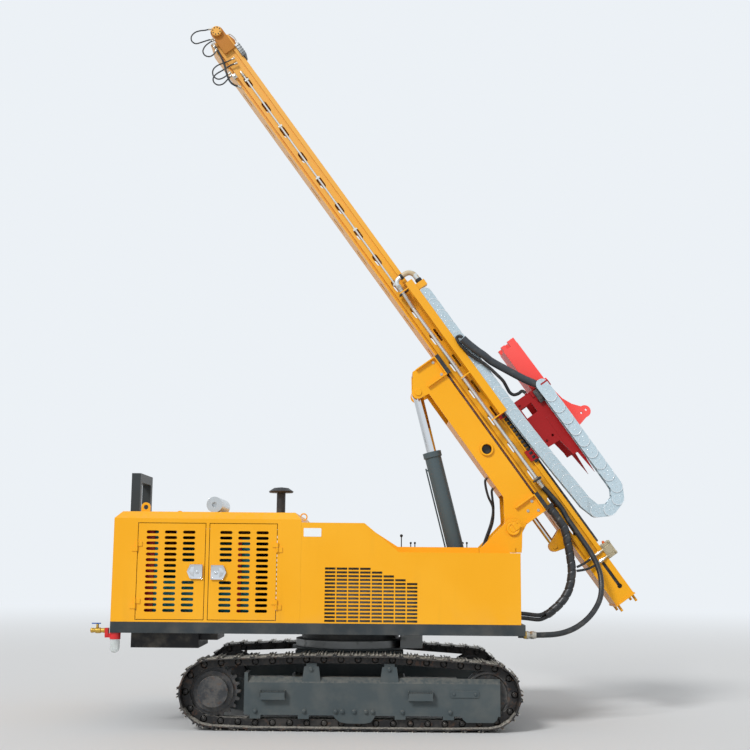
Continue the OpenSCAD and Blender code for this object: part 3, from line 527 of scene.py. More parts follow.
def finishPiece(name, bm, material, body, smoothAngle=35):
    bmesh.ops.recalc_face_normals(bm, faces=bm.faces[:])
    mesh = bpy.data.meshes.new(name)
    bm.to_mesh(mesh)
    bm.free()
    mesh.materials.append(material)
    mesh.shade_smooth()
    mesh.set_sharp_from_angle(angle=math.radians(smoothAngle))
    piece = bpy.data.objects.new(name, mesh)
    bpy.context.scene.collection.objects.link(piece)
    if body:
        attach(piece, body)
    return piece


# Point on the curve through the route's points, t of the way from point i to the next
def splinePoint(points, i, t):
    a, b, c, d = (points[min(max(i + k, 0), len(points) - 1)] for k in (-1, 0, 1, 2))
    return 0.5 * (2 * b + (c - a) * t + (2 * a - 5 * b + 4 * c - d) * t**2 + (3 * b - a - 3 * c + d) * t**3)


# Length of a line of points up to each of them
def lineLengths(points):
    lengths = [0.0]
    for first, second in zip(points, points[1:]):
        lengths.append(lengths[-1] + (second - first).length)
    return lengths


# Points evenly apart along a line of points, in the given count of steps
def evenly(points, count):
    lengths = lineLengths(points)
    path, i = [], 0
    for k in range(count + 1):
        wanted = lengths[-1] * k / count
        while i < len(points) - 2 and lengths[i + 1] < wanted:
            i += 1
        share = (wanted - lengths[i]) / max(lengths[i + 1] - lengths[i], 1e-9)
        path.append(points[i].lerp(points[i + 1], min(share, 1)))
    return path


# Points along a smooth line through the route's points, and its length
def smoothRoute(points, spacing):
    steps = [(i, k / 24) for i in range(len(points) - 1) for k in range(24)]
    fine = [splinePoint(points, i, t) for i, t in steps] + [points[-1]]
    length = lineLengths(fine)[-1]
    return evenly(fine, max(2, round(length / spacing))), length


# Tube drawn along a path by extruding a circle; radiusAt gives the radius from the length along it and
# the angle round it
def sweepTube(bm, path, radiusAt, sides):
    uvLayer = bm.loops.layers.uv.verify()
    start = len(bm.faces)
    last = len(path) - 1
    tangents = [(path[min(i + 1, last)] - path[max(i - 1, 0)]).normalized() for i in range(last + 1)]
    side = tangents[0].orthogonal().normalized()
    ring = bmesh.ops.create_circle(bm, cap_ends=False, segments=sides, radius=1)["verts"]
    edges = list({e for v in ring for e in v.link_edges})
    firstRing, along, where = ring, 0.0, {}
    for i, (point, tangent) in enumerate(zip(path, tangents)):
        if i:
            along += (point - path[i - 1]).length
            made = bmesh.ops.extrude_edge_only(bm, edges=edges)["geom"]
            edges = [e for e in made if isinstance(e, bmesh.types.BMEdge)]
            edges = [e for e in edges if where.keys().isdisjoint(e.verts)]
            newVerts = {v for e in edges for v in e.verts}
            ring = [next(v for e in old.link_edges for v in e.verts if v in newVerts) for old in ring]
        side = (side - tangent * side.dot(tangent)).normalized()
        other = tangent.cross(side)
        for k, vert in enumerate(ring):
            angle = 2 * math.pi * k / sides
            spoke = side * math.cos(angle) + other * math.sin(angle)
            vert.co = point + radiusAt(along, angle) * spoke
            where[vert] = (along, k / sides)
    bm.faces.ensure_lookup_table()
    for face in bm.faces[start:]:
        turns = [where[loop.vert][1] for loop in face.loops]
        for loop, share in zip(face.loops, turns):
            wrapped = share + 1 if max(turns) - share > 0.5 else share
            loop[uvLayer].uv = (where[loop.vert][0], wrapped)
    for end in (firstRing, ring):
        bmesh.ops.contextual_create(bm, geom=end)


def addTube(bm, points, radius, spacing, sides):
    sweepTube(bm, smoothRoute(points, spacing)[0], lambda along, angle: radius, sides)


# Routes of the hoses, in metres from the slew axis, and from the boom's pin for those on the carriage
hoseRoutes = {
    "bundle": [
        (1.795, -0.206, 1.855), (1.838, -0.206, 1.805), (1.88, -0.207, 1.745), (1.923, -0.208, 1.675),
        (1.956, -0.21, 1.521), (1.974, -0.211, 1.399), (1.982, -0.215, 1.297), (1.964, -0.22, 1.176),
        (1.926, -0.225, 1.085), (1.862, -0.23, 1.004), (1.768, -0.235, 0.925), (1.735, -0.2365, 0.91),
    ],
    "wallUpper": [
        (1.752, -0.236, 0.936), (1.68, -0.24, 0.909), (1.56, -0.24, 0.919), (1.434, -0.24, 0.928),
    ],
    "wallLower": [
        (1.752, -0.236, 0.898), (1.68, -0.24, 0.871), (1.56, -0.24, 0.881), (1.434, -0.24, 0.888),
    ],
    "smooth": [
        (1.741, -0.152, 2.048), (1.79, -0.155, 2.0), (1.898, -0.162, 1.873), (1.956, -0.172, 1.769),
        (2.022, -0.2, 1.666), (2.088, -0.225, 1.563), (2.144, -0.25, 1.472), (2.189, -0.275, 1.381),
        (2.217, -0.305, 1.28), (2.221, -0.34, 1.18), (2.202, -0.39, 1.082), (2.155, -0.44, 0.994),
        (2.076, -0.51, 0.909), (1.973, -0.58, 0.838), (1.865, -0.63, 0.792), (1.752, -0.66, 0.769),
        (1.593, -0.68, 0.762), (1.512, -0.68, 0.762),
    ],
    "thinRear": [
        (1.2445, -0.04, 2.1365), (1.226, -0.04, 2.11), (1.234, -0.04, 2.04), (1.256, -0.04, 1.96),
        (1.296, -0.036, 1.86), (1.278, -0.036, 1.727), (1.22, -0.036, 1.563), (1.17, -0.036, 1.4),
        (1.16, -0.036, 1.25), (1.16, -0.036, 1.1),
    ],
    "thinFront": [
        (1.3075, 0.04, 2.047), (1.294, 0.04, 2.02), (1.3, 0.04, 1.95), (1.308, 0.036, 1.86),
        (1.298, 0.036, 1.727), (1.24, 0.036, 1.563), (1.2, 0.036, 1.4), (1.196, 0.036, 1.25),
        (1.196, 0.036, 1.1),
    ],
    # From here on forward of the boom's pin, sideways and up the mast
    "sleeve": [
        (0.958, -0.21, 0.922), (0.956, -0.21, 0.938), (0.938, -0.213, 0.964), (0.881, -0.222, 1.056),
        (0.802, -0.24, 1.207), (0.731, -0.266, 1.346), (0.703, -0.299, 1.425), (0.676, -0.308, 1.496),
        (0.646, -0.316, 1.598), (0.632, -0.32, 1.665),
    ],
    "return": [
        (0.632, -0.32, 1.674), (0.63, -0.318, 1.692), (0.615, -0.305, 1.706), (0.592, -0.293, 1.7),
        (0.585, -0.29, 1.64), (0.598, -0.29, 1.54), (0.625, -0.289, 1.45), (0.655, -0.287, 1.385),
        (0.68, -0.284, 1.3), (0.69, -0.28, 1.252), (0.712, -0.262, 1.15), (0.714, -0.235, 1.1),
        (0.712, -0.215, 1.06), (0.71, -0.205, 1.019), (0.728, -0.195, 0.982), (0.774, -0.18, 0.966),
        (0.812, -0.168, 0.968), (0.829, -0.162, 0.948), (0.83, -0.161, 0.932),
    ],
}


def makeHose(name, points, diameter, material, sides=20, spacing=0.012, radiusAt=None):
    path, length = smoothRoute(points, spacing)
    bm = bmesh.new()
    sweepTube(bm, path, radiusAt or (lambda along, angle: diameter / 2), sides)
    piece = finishPiece(name, bm, material, None, 60)
    return piece


# Point of the smooth hose's route where its two lengths meet
hoseUnion = 7

# Hose bundle inside a spiral guard: its bands stand out in one screw line
spiralGuard = {"radius": 0.038, "depth": 0.0055, "pitch": 0.082}


def guardRadius(along, angle):
    phase = (along / spiralGuard["pitch"] - angle / (2 * math.pi)) % 1
    groove = max(0.0, 1 - abs(phase - 0.5) / 0.13)
    return spiralGuard["radius"] - spiralGuard["depth"] * groove * groove * (3 - 2 * groove)


def makeCords():
    route = {name: [fromSlew(*p) for p in points] for name, points in hoseRoutes.items()}
    bundle = makeHose("hoseBundle", route["bundle"], 0.076, guardHoseRubber, 24, 0.006, guardRadius)
    upperWall = makeHose("wallUpperHose", route["wallUpper"], 0.036, smoothHoseRubber, 18)
    lowerWall = makeHose("wallLowerHose", route["wallLower"], 0.036, smoothHoseRubber, 18)
    for piece in (bundle, upperWall, lowerWall):
        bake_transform(piece)
        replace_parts(piece, "hose_bundle")
    upperRoute, lowerRoute = route["smooth"][: hoseUnion + 1], route["smooth"][hoseUnion:]
    upperHose = makeHose("smoothHoseUpper", upperRoute, 0.048, smoothHoseRubber)
    lowerHose = makeHose("smoothHoseLower", lowerRoute, 0.048, smoothHoseRubber)
    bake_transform(upperHose)
    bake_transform(lowerHose)
    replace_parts(upperHose, "smooth_hose")
    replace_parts(lowerHose, "smooth_hose")
    for name in ("thinRear", "thinFront"):
        thin = makeHose(name + "Hose", route[name], 0.022, wrappedHoseRubber, 14)
        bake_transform(thin)
        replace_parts(thin, "thin_hoses")
    sleeveRoute, returnRoute = ([onMast(*p) for p in hoseRoutes[name]] for name in ("sleeve", "return"))
    sleeve = makeHose("carriageSleeve", sleeveRoute, 0.07, sleeveFabric, 24, 0.012, None)
    thinHoses = makeHose("carriageHoses", returnRoute, 0.03, wrappedHoseRubber, 16, 0.006)
    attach(sleeve, "carriage")
    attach(thinHoses, "carriage")
    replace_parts(sleeve, "carriage_sleeve")
    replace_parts(thinHoses, "carriage_hoses")


makeCords()
print("cords laid")


# Drag chain: links from the mast's anchor down, round the bend and up to the carriage, each head over
# the heel before it, with bars between the two sides, hoses inside, and a bright crescent on each head's
# edge as a painted highlight. The bend is given by its middle and radius, a hose by its places across and
# sideways and its radius
dragChain = {
    "half": 0.057,
    "sides": (-0.25, -0.18),
    "lift": 0.008,
    "plate": 0.004,
    "sunk": 0.0005,
    "rim": (0.0055, 0.0022),
    "rivet": (0.0062, 0.0035, 0.004),
    "bend": (0.826, -0.205, 0.158),
    "down": [(0.612, 2.2142), (0.614, 1.6), (0.618, 0.95), (0.627, 0.6), (0.642, 0.25), (0.66, -0.05)],
    "up": [(0.988, 0.2), (0.99, 0.6), (0.988, 0.905)],
    "links": 32,
    "bars": {"in": 0.008, "half": (0.004, 0.016), "y": (0.18, 0.2505)},
    "rivets": [(0.0, 0.064), (-0.02, 0.03), (0.021, 0.03), (-0.036, -0.028), (0.034, -0.034), (0.0, -0.004)],
    "hoses": [(-0.022, -0.232, 0.014), (0.004, -0.214, 0.015), (0.026, -0.198, 0.012)],
}


def chainPoints():
    n, t, radius = dragChain["bend"]
    angles = [math.radians(15 * k) for k in range(13)]
    bend = [Vector((n - radius * math.cos(a), 0, t - radius * math.sin(a))) for a in angles]
    down = [Vector((x, 0, z)) for x, z in dragChain["down"]]
    up = [Vector((x, 0, z)) for x, z in dragChain["up"]]
    return smoothRoute(down + bend + up, 0.01)


def pinPlaces(path, length):
    step = length / dragChain["links"]
    spacing = length / (len(path) - 1)
    places = []
    for i in range(dragChain["links"] + 1):
        k = min(int(i * step / spacing), len(path) - 2)
        places.append(path[k].lerp(path[k + 1], i * step / spacing - k))
    return places


# Space whose X goes across the link, Y towards its head and Z out of the side given
def linkSpace(head, heel, y, outward):
    along = (head - heel).normalized()
    out = Vector((0, outward, 0))
    space = Matrix((along.cross(out), along, out)).transposed().to_4x4()
    space.translation = (head + heel) / 2 + Vector((0, y, 0))
    return mastPlace @ space


def roundEnded(length, radius, cuts=8):
    points = []
    for end, start in ((length / 2, 0), (-length / 2, 180)):
        for k in range(cuts + 1):
            angle = math.radians(start + 180 * k / cuts)
            points.append((radius * math.cos(angle), end + radius * math.sin(angle)))
    return points


# Bright crescent along the edge of a link's head: a painted highlight
def headRimHighlight(length):
    outer = [math.radians(-5 + 19 * k) for k in range(11)]
    inner = dragChain["half"] - dragChain["rim"][0]
    points = [(dragChain["half"], a) for a in outer] + [(inner, a) for a in outer[::-1]]
    return [(r * math.cos(a), length / 2 + r * math.sin(a)) for r, a in points]


def addLink(bm, rivetsAndRimHighlights, head, heel):
    length = (head - heel).length
    tilt = Matrix.Rotation(math.atan(dragChain["lift"] / length), 4, "X")
    for y, outward in zip(dragChain["sides"], (-1, 1)):
        space = linkSpace(head, heel, y, outward) @ tilt
        addPlate(bm, roundEnded(length, dragChain["half"]), dragChain["plate"], space)
        top = dragChain["plate"] - dragChain["sunk"]
        radius, height, tip = dragChain["rivet"]
        for x, z in dragChain["rivets"]:
            addRod(rivetsAndRimHighlights, radius, height, space @ at(x, z, top), 8, tip)
        # Painted highlight: a bright crescent on the head's edge
        addPlate(rivetsAndRimHighlights, headRimHighlight(length), dragChain["rim"][1], space @ at(0, 0, top))
    space = linkSpace(head, heel, 0, -1)
    bars = dragChain["bars"]
    halfX, halfY = bars["half"]
    for across in (-1, 1):
        x = across * (dragChain["half"] - bars["in"])
        addBox(bm, (x - halfX, -halfY, bars["y"][0]), (x + halfX, halfY, bars["y"][1]), space)


# Lines of the hoses inside one run of the chain
def innerHose(run, across, y):
    line = []
    for k, point in enumerate(run):
        along = (run[min(k + 1, len(run) - 1)] - run[max(k - 1, 0)]).normalized()
        line.append(mastPlace @ (point + Vector((-along.z, 0, along.x)) * across + Vector((0, y, 0))))
    return line[::3] + line[-1:]


def makeDragChain():
    path, length = chainPoints()
    pins = pinPlaces(path, length)
    bendX, bendZ = dragChain["bend"][:2]
    bendTop = bendZ + 0.07
    low = min(range(len(pins)), key=lambda i: pins[i].z)
    links = {"lower": [], "bend": [], "upper": []}
    for i, (head, heel) in enumerate(zip(pins, pins[1:])):
        if max(head.z, heel.z) < bendTop:
            links["bend"].append((head, heel))
        else:
            links["lower" if i < low else "upper"].append((head, heel))
    runs = {
        "lower": [p for p in path if p.x < bendX and p.z > bendZ - 0.02],
        "bend": [p for p in path if p.z < bendZ],
        "upper": [p for p in path if p.x > bendX and p.z > bendZ - 0.02],
    }
    # Runs baked in place with no body; for each, the body it would follow, where it would move in full and
    # where it would stand still, which nothing here reads
    ends = {
        "lower": ("chain_bend", onMast(bendX, 0, bendZ), onMast(0.62, 0, 2.28)),
        "upper": ("carriage", onMast(0.99, 0, 0.86), onMast(0.99, 0, bendZ - 1.065)),
    }
    for name, pairs in links.items():
        bm, rivetsAndRimHighlights, hoses = bmesh.new(), bmesh.new(), bmesh.new()
        for head, heel in pairs:
            addLink(bm, rivetsAndRimHighlights, head, heel)
        bevelSharp(bm, 0.0007, 1, 50)
        rides = None if name in ends else "chain_bend"
        chain = finishPiece("dragChain" + name.title(), bm, zinc, rides, 30)
        marksPiece = finishPiece("dragChainRivetsAndHighlights" + name.title(), rivetsAndRimHighlights, rivetAndHighlightSteel, rides, 30)
        for across, y, radius in dragChain["hoses"]:
            sweepTube(hoses, innerHose(runs[name], across, y), lambda far, angle, r=radius: r, 10)
        hosePiece = finishPiece("dragChainHoses" + name.title(), hoses, wrappedHoseRubber, rides, 60)
        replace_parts(chain, "drag_chain_" + name)
        if name in ends:
            for piece in (chain, marksPiece, hosePiece):
                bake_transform(piece)


makeDragChain()
print("drag chain linked")


# Feed chain on the mast's face: plates with their pins, in one strand that doubles low down
feedChain = {
    "pitch": 0.0508,
    "half": 0.0095,
    "strands": [(0.5665, -0.54, 5.08), (0.589, -0.54, 0.99)],
    "outer": (-0.0125, 0.0095),
    "inner": (-0.0095, 0.0065),
}


def makeFeedChain():
    bm = bmesh.new()
    pitch = feedChain["pitch"]
    outline = roundEnded(pitch, feedChain["half"], 4)
    for n, low, high in feedChain["strands"]:
        for i in range(int((high - low) / pitch)):
            t = low + pitch * (i + 0.5)
            for y in feedChain["outer"] if i % 2 else feedChain["inner"]:
                addPlate(bm, outline, 0.003, alongMast(n, y + 0.003, t) @ turn(90, "X"))
            addRod(bm, 0.006, 0.026, alongMast(n, 0.013, t - pitch / 2) @ turn(90, "X"), 8)
    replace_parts(finishPiece("feedChainLinks", bm, wheelSteel, "mast", 40), "feed_chain")


makeFeedChain()


# Track: loop of the pins as in the part's source
trackPath = {
    "y": 0.865,
    "shoes": 42,
    "wheels": [
        (-1.11, 0.3, 0.229), (-0.756, 0.157, 0.102), (0.828, 0.157, 0.102), (1.155, 0.288, 0.222),
        (0.343, 0.493, 0.072), (-0.3, 0.493, 0.072),
    ],
}


def trackPins():
    wheels = trackPath["wheels"]
    count = len(wheels)

    def outward(i):
        a, b = wheels[i % count], wheels[(i + 1) % count]
        dx, dz = b[0] - a[0], b[1] - a[1]
        return math.atan2(dz, dx) - math.pi / 2 + math.asin((a[2] - b[2]) / math.hypot(dx, dz))

    points = []
    for i, (x, z, radius) in enumerate(wheels):
        first, last = outward(i - 1), outward(i)
        while last < first - 0.001:
            last += 2 * math.pi
        cuts = max(1, math.ceil(math.degrees(last - first) / 4))
        for k in range(cuts + 1):
            angle = first + (last - first) * k / cuts
            points.append(Vector((x + radius * math.cos(angle), 0, z + radius * math.sin(angle))))
    return points + points[:1]


# Link sides with their pins, the bolts that hold each shoe and the worn edges of its two grousers
trackDress = {
    "linkY": 0.05,
    "linkHalf": 0.031,
    "linkThickness": 0.011,
    "pins": [(0.022, 0.013, 12, 0.02), (0.01, 0.015, 10, 0.008)],
    "bolt": (0.026, 0.012),
    "boltX": (-0.02, 0.02),
    "boltY": (0.028, 0.066),
    "boltZ": 0.033,
    "edgeX": (-0.0565, 0.0565),
    "edgeLow": (-0.005, -0.163, 0.05),
    "edgeHigh": (0.005, 0.163, 0.0556),
}


def dressShoe(links, bolts, edges, space, chord, length):
    for way in (-1, 1):
        side = chord @ at(0, way * trackDress["linkY"], 0) @ turn(-90 * way, "X")
        outline = roundEnded(length, trackDress["linkHalf"], 6)
        addPlate(links, outline, trackDress["linkThickness"], side @ turn(90, "Z"))
        pin = chord @ at(length / 2, way * trackDress["linkY"], 0) @ turn(-90 * way, "X")
        for radius, height, cuts, tip in trackDress["pins"]:
            addRod(links, radius, height, pin, cuts, tip)
        for y in trackDress["boltY"]:
            for x in trackDress["boltX"]:
                addBolt(bolts, space @ at(x, way * y, trackDress["boltZ"]), *trackDress["bolt"], False)
    for x in trackDress["edgeX"]:
        addBox(edges, trackDress["edgeLow"], trackDress["edgeHigh"], space @ at(x, 0, 0))


def makeTrackDress():
    places = evenly(trackPins(), 2 * trackPath["shoes"])[:-1]
    for side, sign in sides:
        links, bolts, edges = bmesh.new(), bmesh.new(), bmesh.new()
        shift = Vector((-rig["middleX"], sign * trackPath["y"], 0))
        for k in range(0, len(places), 2):
            before, here, after = places[k - 1], places[k], places[(k + 1) % len(places)]
            along = (after - before).normalized()
            out = Vector((along.z, 0, -along.x))
            space = Matrix((along, out.cross(along), out)).transposed().to_4x4()
            chord = space.copy()
            chord.translation = (before + after) / 2 + shift
            space.translation = here + shift
            dressShoe(links, bolts, edges, space, chord, (after - before).length)
        bevelSharp(links, 0.0015, 1, 60)
        finishPiece("shoeEdges" + side, edges, wornEdge, "undercarriage", 40)
        finishPiece("trackLinks" + side, links, linkSteel, "undercarriage", 40)
        finishPiece("shoeBolts" + side, bolts, boltSteel, "undercarriage", 40)


makeTrackDress()
print("tracks dressed")


# Track frames: bolt heads as stacked rods of radius, height, sides and tip's radius, and serrated steps
frameBolts = [
    {
        "out": 0.1,
        "places": [(x, 0.153) for x in (-0.757, -0.355, -0.097, -0.043, 0.055, 0.152, 0.206, 0.45, 0.842)],
        "rods": [(0.022, 0.004, 20, None), (0.017, 0.018, 6, 0.015), (0.012, 0.021, 16, 0.008)],
    },
    {
        "out": 0.092,
        "places": [(-0.303, 0.489), (0.341, 0.491)],
        "rods": [(0.024, 0.005, 20, None), (0.018, 0.018, 16, 0.012)],
    },
    {"out": 0.107, "places": [(0.872, 0.298), (1.05, 0.298)], "rods": [(0.013, 0.008, 16, 0.009)]},
]
steps = {
    "x": (-0.716, 0.496),
    "length": 0.206,
    "y": (0.099, 0.153),
    "z": (0.247, 0.31),
    "sheet": 0.005,
    "end": 0.006,
    "teeth": 13,
    "margin": 0.01,
    "toothHeight": 0.011,
}


def addStep(bm, x, sign):
    low, high = steps["z"]
    root, edge = (sign * (trackPath["y"] + y) for y in steps["y"])
    near, far = sorted((root, edge))
    lip = sorted((edge, edge - sign * steps["sheet"]))
    a, b = fromSlew(x, 0, 0).x, fromSlew(x + steps["length"], 0, 0).x
    addBox(bm, (a, lip[0], low), (b, lip[1], high))
    addBox(bm, (a, near, high - steps["sheet"]), (b, far, high))
    width = steps["end"]
    for end in (a, b - width):
        addBox(bm, (end, near, low + 0.02), (end + width, far, high + 0.012))
    pitch = (steps["length"] - 2 * steps["margin"]) / steps["teeth"]
    tooth = [(-pitch * 0.42, 0), (pitch * 0.42, 0), (0, steps["toothHeight"])]
    for row in (1, 8):
        y = edge - sign * width * row + width / 2
        for k in range(steps["teeth"]):
            place = at(a + steps["margin"] + pitch * (k + 0.5), y, high - 0.001)
            addPlate(bm, tooth, width, place @ turn(90, "X"))


def makeFrameDress():
    for side, sign in sides:
        bolts, treads = bmesh.new(), bmesh.new()
        for kind in frameBolts:
            for x, z in kind["places"]:
                place = onSide(x, sign * (trackPath["y"] + kind["out"]), z)
                for radius, height, cuts, tip in kind["rods"]:
                    addRod(bolts, radius, height, place, cuts, tip)
        for x in steps["x"]:
            addStep(treads, x, sign)
        bevelSharp(treads, 0.0012, 1, 50)
        finishPiece("frameBolts" + side, bolts, framePaint, "undercarriage", 35)
        finishPiece("frameSteps" + side, treads, framePaint, "undercarriage", 30)


makeFrameDress()
print("track frames dressed")


# Flat plate whose face is sunk inside a rim
def addDish(bm, outline, thickness, place, rim, depth):
    verts = addPlate(bm, outline, thickness, place)
    raised = set(verts[len(verts) // 2 :])
    face = next(f for f in verts[-1].link_faces if raised.issuperset(f.verts))
    bmesh.ops.inset_region(bm, faces=[face], thickness=rim, depth=0, use_even_offset=True)
    offset = place.to_3x3() @ Vector((0, 0, -depth))
    bmesh.ops.translate(bm, verts=list(face.verts), vec=offset)


# Chrome paddle latches on the doors: a dish with one pointed side, its paddle, lock and corner rivets.
# Each end's place, and the way that its point looks
latch = {
    "face": 0.988,
    "ends": {"rear": (-1.2835, 1.274, -1), "front": (-1.084, 1.269, 1)},
    "half": (0.064, 0.059),
    "point": 0.026,
    "paddle": [(-0.006, -0.042), (0.018, -0.03), (0.034, 0), (0.018, 0.03), (-0.006, 0.042)],
    "paddleShift": 0.012,
    "lock": -0.022,
    "rivetZ": (-0.05, 0.05),
}


def makeLatch(name, place, point, body):
    bm = bmesh.new()
    halfX, halfZ = latch["half"]
    flat = point * -halfX
    neck = point * (halfX - latch["point"])
    outline = [(flat, -halfZ), (neck, -halfZ), (point * halfX, 0), (neck, halfZ), (flat, halfZ)]
    addDish(bm, outline[::point], 0.012, place, 0.009, 0.008)
    shift = point * latch["paddleShift"]
    paddle = [(shift + point * x, z) for x, z in latch["paddle"][::point]]
    addPlate(bm, paddle, 0.005, place @ at(0, 0, 0.006) @ turn(point * 7, "Y"))
    lock = point * latch["lock"]
    addRod(bm, 0.017, 0.006, place @ at(lock, -0.004, 0.004), 24, 0.015)
    addRod(bm, 0.009, 0.01, place @ at(lock, -0.004, 0.004), 16, 0.008)
    addBox(bm, (lock - 0.0015, -0.01, 0.0135), (lock + 0.0015, 0.002, 0.0148), place)
    for x in (flat * 0.86, neck * 0.9):
        for z in latch["rivetZ"]:
            addRod(bm, 0.006, 0.0035, place @ at(x, z, 0.0115), 12, 0.003)
    bevelSharp(bm, 0.0012)
    finishPiece(name, bm, chrome, body, 30)


def makeLatches():
    for side, sign in sides:
        for end, (x, z, point) in latch["ends"].items():
            place = onSide(x, sign * latch["face"], z)
            makeLatch("latch" + side + end.title(), place, point, "door_" + side.lower() + "_" + end)


makeLatches()


# Blank plate on the side panel
blankPlate = {
    "place": (-0.309, -0.98, 1.6055),
    "half": (0.068, 0.0295),
    "corner": 0.006,
    "thickness": 0.0015,
}


def makeBlankPlate():
    bm = bmesh.new()
    halfX, halfZ = blankPlate["half"]
    corners = []
    for wayX, wayZ, start in ((1, 1, 0), (-1, 1, 90), (-1, -1, 180), (1, -1, 270)):
        for k in range(5):
            angle = math.radians(start + 22.5 * k)
            x = wayX * halfX + blankPlate["corner"] * math.cos(angle)
            corners.append((x, wayZ * halfZ + blankPlate["corner"] * math.sin(angle)))
    addPlate(bm, corners, blankPlate["thickness"], onSide(*blankPlate["place"]))
    bevelSharp(bm, 0.0005, 1)
    finishPiece("blankPlate", bm, labelWhite, "upper")


makeBlankPlate()


# What shows of the engine behind the right doors' slots: X and Z of each ribbed block
engineCovers = {
    "y": (-0.9, -0.84),
    "ribPitch": 0.08,
    "Teal": [
        (-1.637, -1.598, 0.9, 1.62), (-1.553, -1.451, 0.9, 1.22), (-1.394, -1.291, 0.9, 1.22),
        (-1.095, -0.994, 0.9, 1.17), (-0.903, -0.832, 0.9, 1.55),
    ],
    "Red": [(-1.712, -1.64, 0.9, 1.62), (-0.938, -0.906, 0.9, 1.55)],
}


def makeEngineCovers():
    near, far = engineCovers["y"]
    for name, finish in (("Teal", tealPaint), ("Red", redPlastic)):
        bm = bmesh.new()
        for x0, x1, z0, z1 in engineCovers[name]:
            addBox(bm, fromSlew(x0, near, z0), fromSlew(x1, far, z1))
            for k in range(int((z1 - z0) / engineCovers["ribPitch"])):
                z = z0 + 0.05 + engineCovers["ribPitch"] * k
                addBox(bm, fromSlew(x0 + 0.004, near - 0.008, z), fromSlew(x1 - 0.004, near, z + 0.02))
        bevelSharp(bm, 0.004)
        finishPiece("engineCovers" + name, bm, finish, "upper")


makeEngineCovers()


# Ribbed dark mat inside the far doors, a dark sheet of painted shade inside the hood; brass valve with a
# blue lever, ring on the hood's front slope
darkShadeMat = {
    "x": (-1.74, -0.76),
    "y": (0.782, 0.79, 0.8),
    "z": (0.86, 1.62),
    "ribs": 9,
    "ribPitch": 0.085,
    "ribZ": (0.9, 0.93),
}
drainValve = {
    "place": (-2.019, -0.925, 0.785),
    "profile": [
        (0.0152, 0.0), (0.021, 0.0), (0.021, 0.016), (0.0185, 0.02), (0.0185, 0.034), (0.024, 0.04),
        (0.024, 0.078), (0.0185, 0.084), (0.0185, 0.098), (0.021, 0.101), (0.021, 0.119), (0.0152, 0.119),
    ],
    "stem": (-2.085, -0.925, 0.806),
    "lever": ((-2.132, -0.9355, 0.8375), (-2.058, -0.9145, 0.8465)),
}
hoodRing = {"place": (-0.412, -0.52, 1.748), "radius": 0.028, "wire": 0.006}


def makeDeckTrim():
    bm = bmesh.new()
    a, b = darkShadeMat["x"]
    rib, near, far = darkShadeMat["y"]
    addBox(bm, fromSlew(a, near, darkShadeMat["z"][0]), fromSlew(b, far, darkShadeMat["z"][1]))
    low, high = darkShadeMat["ribZ"]
    for k in range(darkShadeMat["ribs"]):
        z = darkShadeMat["ribPitch"] * k
        addBox(bm, fromSlew(a, rib, low + z), fromSlew(b, near, high + z))
    bevelSharp(bm, 0.003, 1)
    # Dark mat: painted shade seen through the doors' slots
    finishPiece("darkShadeMat", bm, plasticBlack, "upper")
    bm = bmesh.new()
    addLathe(bm, drainValve["profile"], atSlew(*drainValve["place"]) @ turn(-90, "Y"), 6)
    addRod(bm, 0.011, 0.03, atSlew(*drainValve["stem"]), 12)
    bevelSharp(bm, 0.001, 1, 50)
    finishPiece("drainValve", bm, brass, "upper", 35)
    bm = bmesh.new()
    addBox(bm, *(fromSlew(*corner) for corner in drainValve["lever"]))
    bevelSharp(bm, 0.002)
    finishPiece("drainLever", bm, bluePaint, "upper")
    bm = bmesh.new()
    x, y, z = hoodRing["place"]
    r = hoodRing["radius"]
    angles = [math.radians(20 * k) for k in range(19)]
    ring = [fromSlew(x + r * math.sin(a), y, z + r * math.cos(a)) for a in angles]
    addTube(bm, ring, hoodRing["wire"], 0.004, 12)
    finishPiece("hoodRing", bm, yellowPaint, "upper", 50)


makeDeckTrim()


# Sleeve, nut and ferrules where the deck's hoses end
hoseEnds = {
    "sleeve": (1.512, -0.68, 0.762),
    "sleeveProfile": [
        (0.0245, -0.004), (0.034, -0.004), (0.034, 0.012), (0.03, 0.016), (0.03, 0.03), (0.033, 0.034),
        (0.033, 0.062), (0.029, 0.066), (0.029, 0.078), (0.0245, 0.08),
    ],
    "nuts": [((1.49, -0.68, 0.762), 0.036, 0.018, 6), ((1.484, -0.68, 0.762), 0.031, 0.024, 24)],
    "feet": {"Rear": (1.16, -0.036, 1.1), "Front": (1.196, 0.036, 1.1)},
    "footProfile": [(0.0115, 0.0), (0.0165, 0.0), (0.0165, 0.05), (0.014, 0.056), (0.0115, 0.056)],
}


def makeHoseEnds():
    bm = bmesh.new()
    addLathe(bm, hoseEnds["sleeveProfile"], atSlew(*hoseEnds["sleeve"]) @ turn(90, "Y"))
    finishPiece("smoothHoseSleeve", bm, boltSteel, "upper", 40)
    bm = bmesh.new()
    for place, radius, length, cuts in hoseEnds["nuts"]:
        addRod(bm, radius, length, atSlew(*place) @ turn(90, "Y"), cuts)
    bevelSharp(bm, 0.0015)
    finishPiece("smoothHoseNut", bm, brass, "upper", 35)
    for end, place in hoseEnds["feet"].items():
        bm = bmesh.new()
        addLathe(bm, hoseEnds["footProfile"], atSlew(*place), 20)
        addRod(bm, 0.018, 0.014, atSlew(*place) @ at(0, 0, -0.014), 6)
        finishPiece("thinHoseFoot" + end, bm, boltSteel, "upper", 35)


makeHoseEnds()


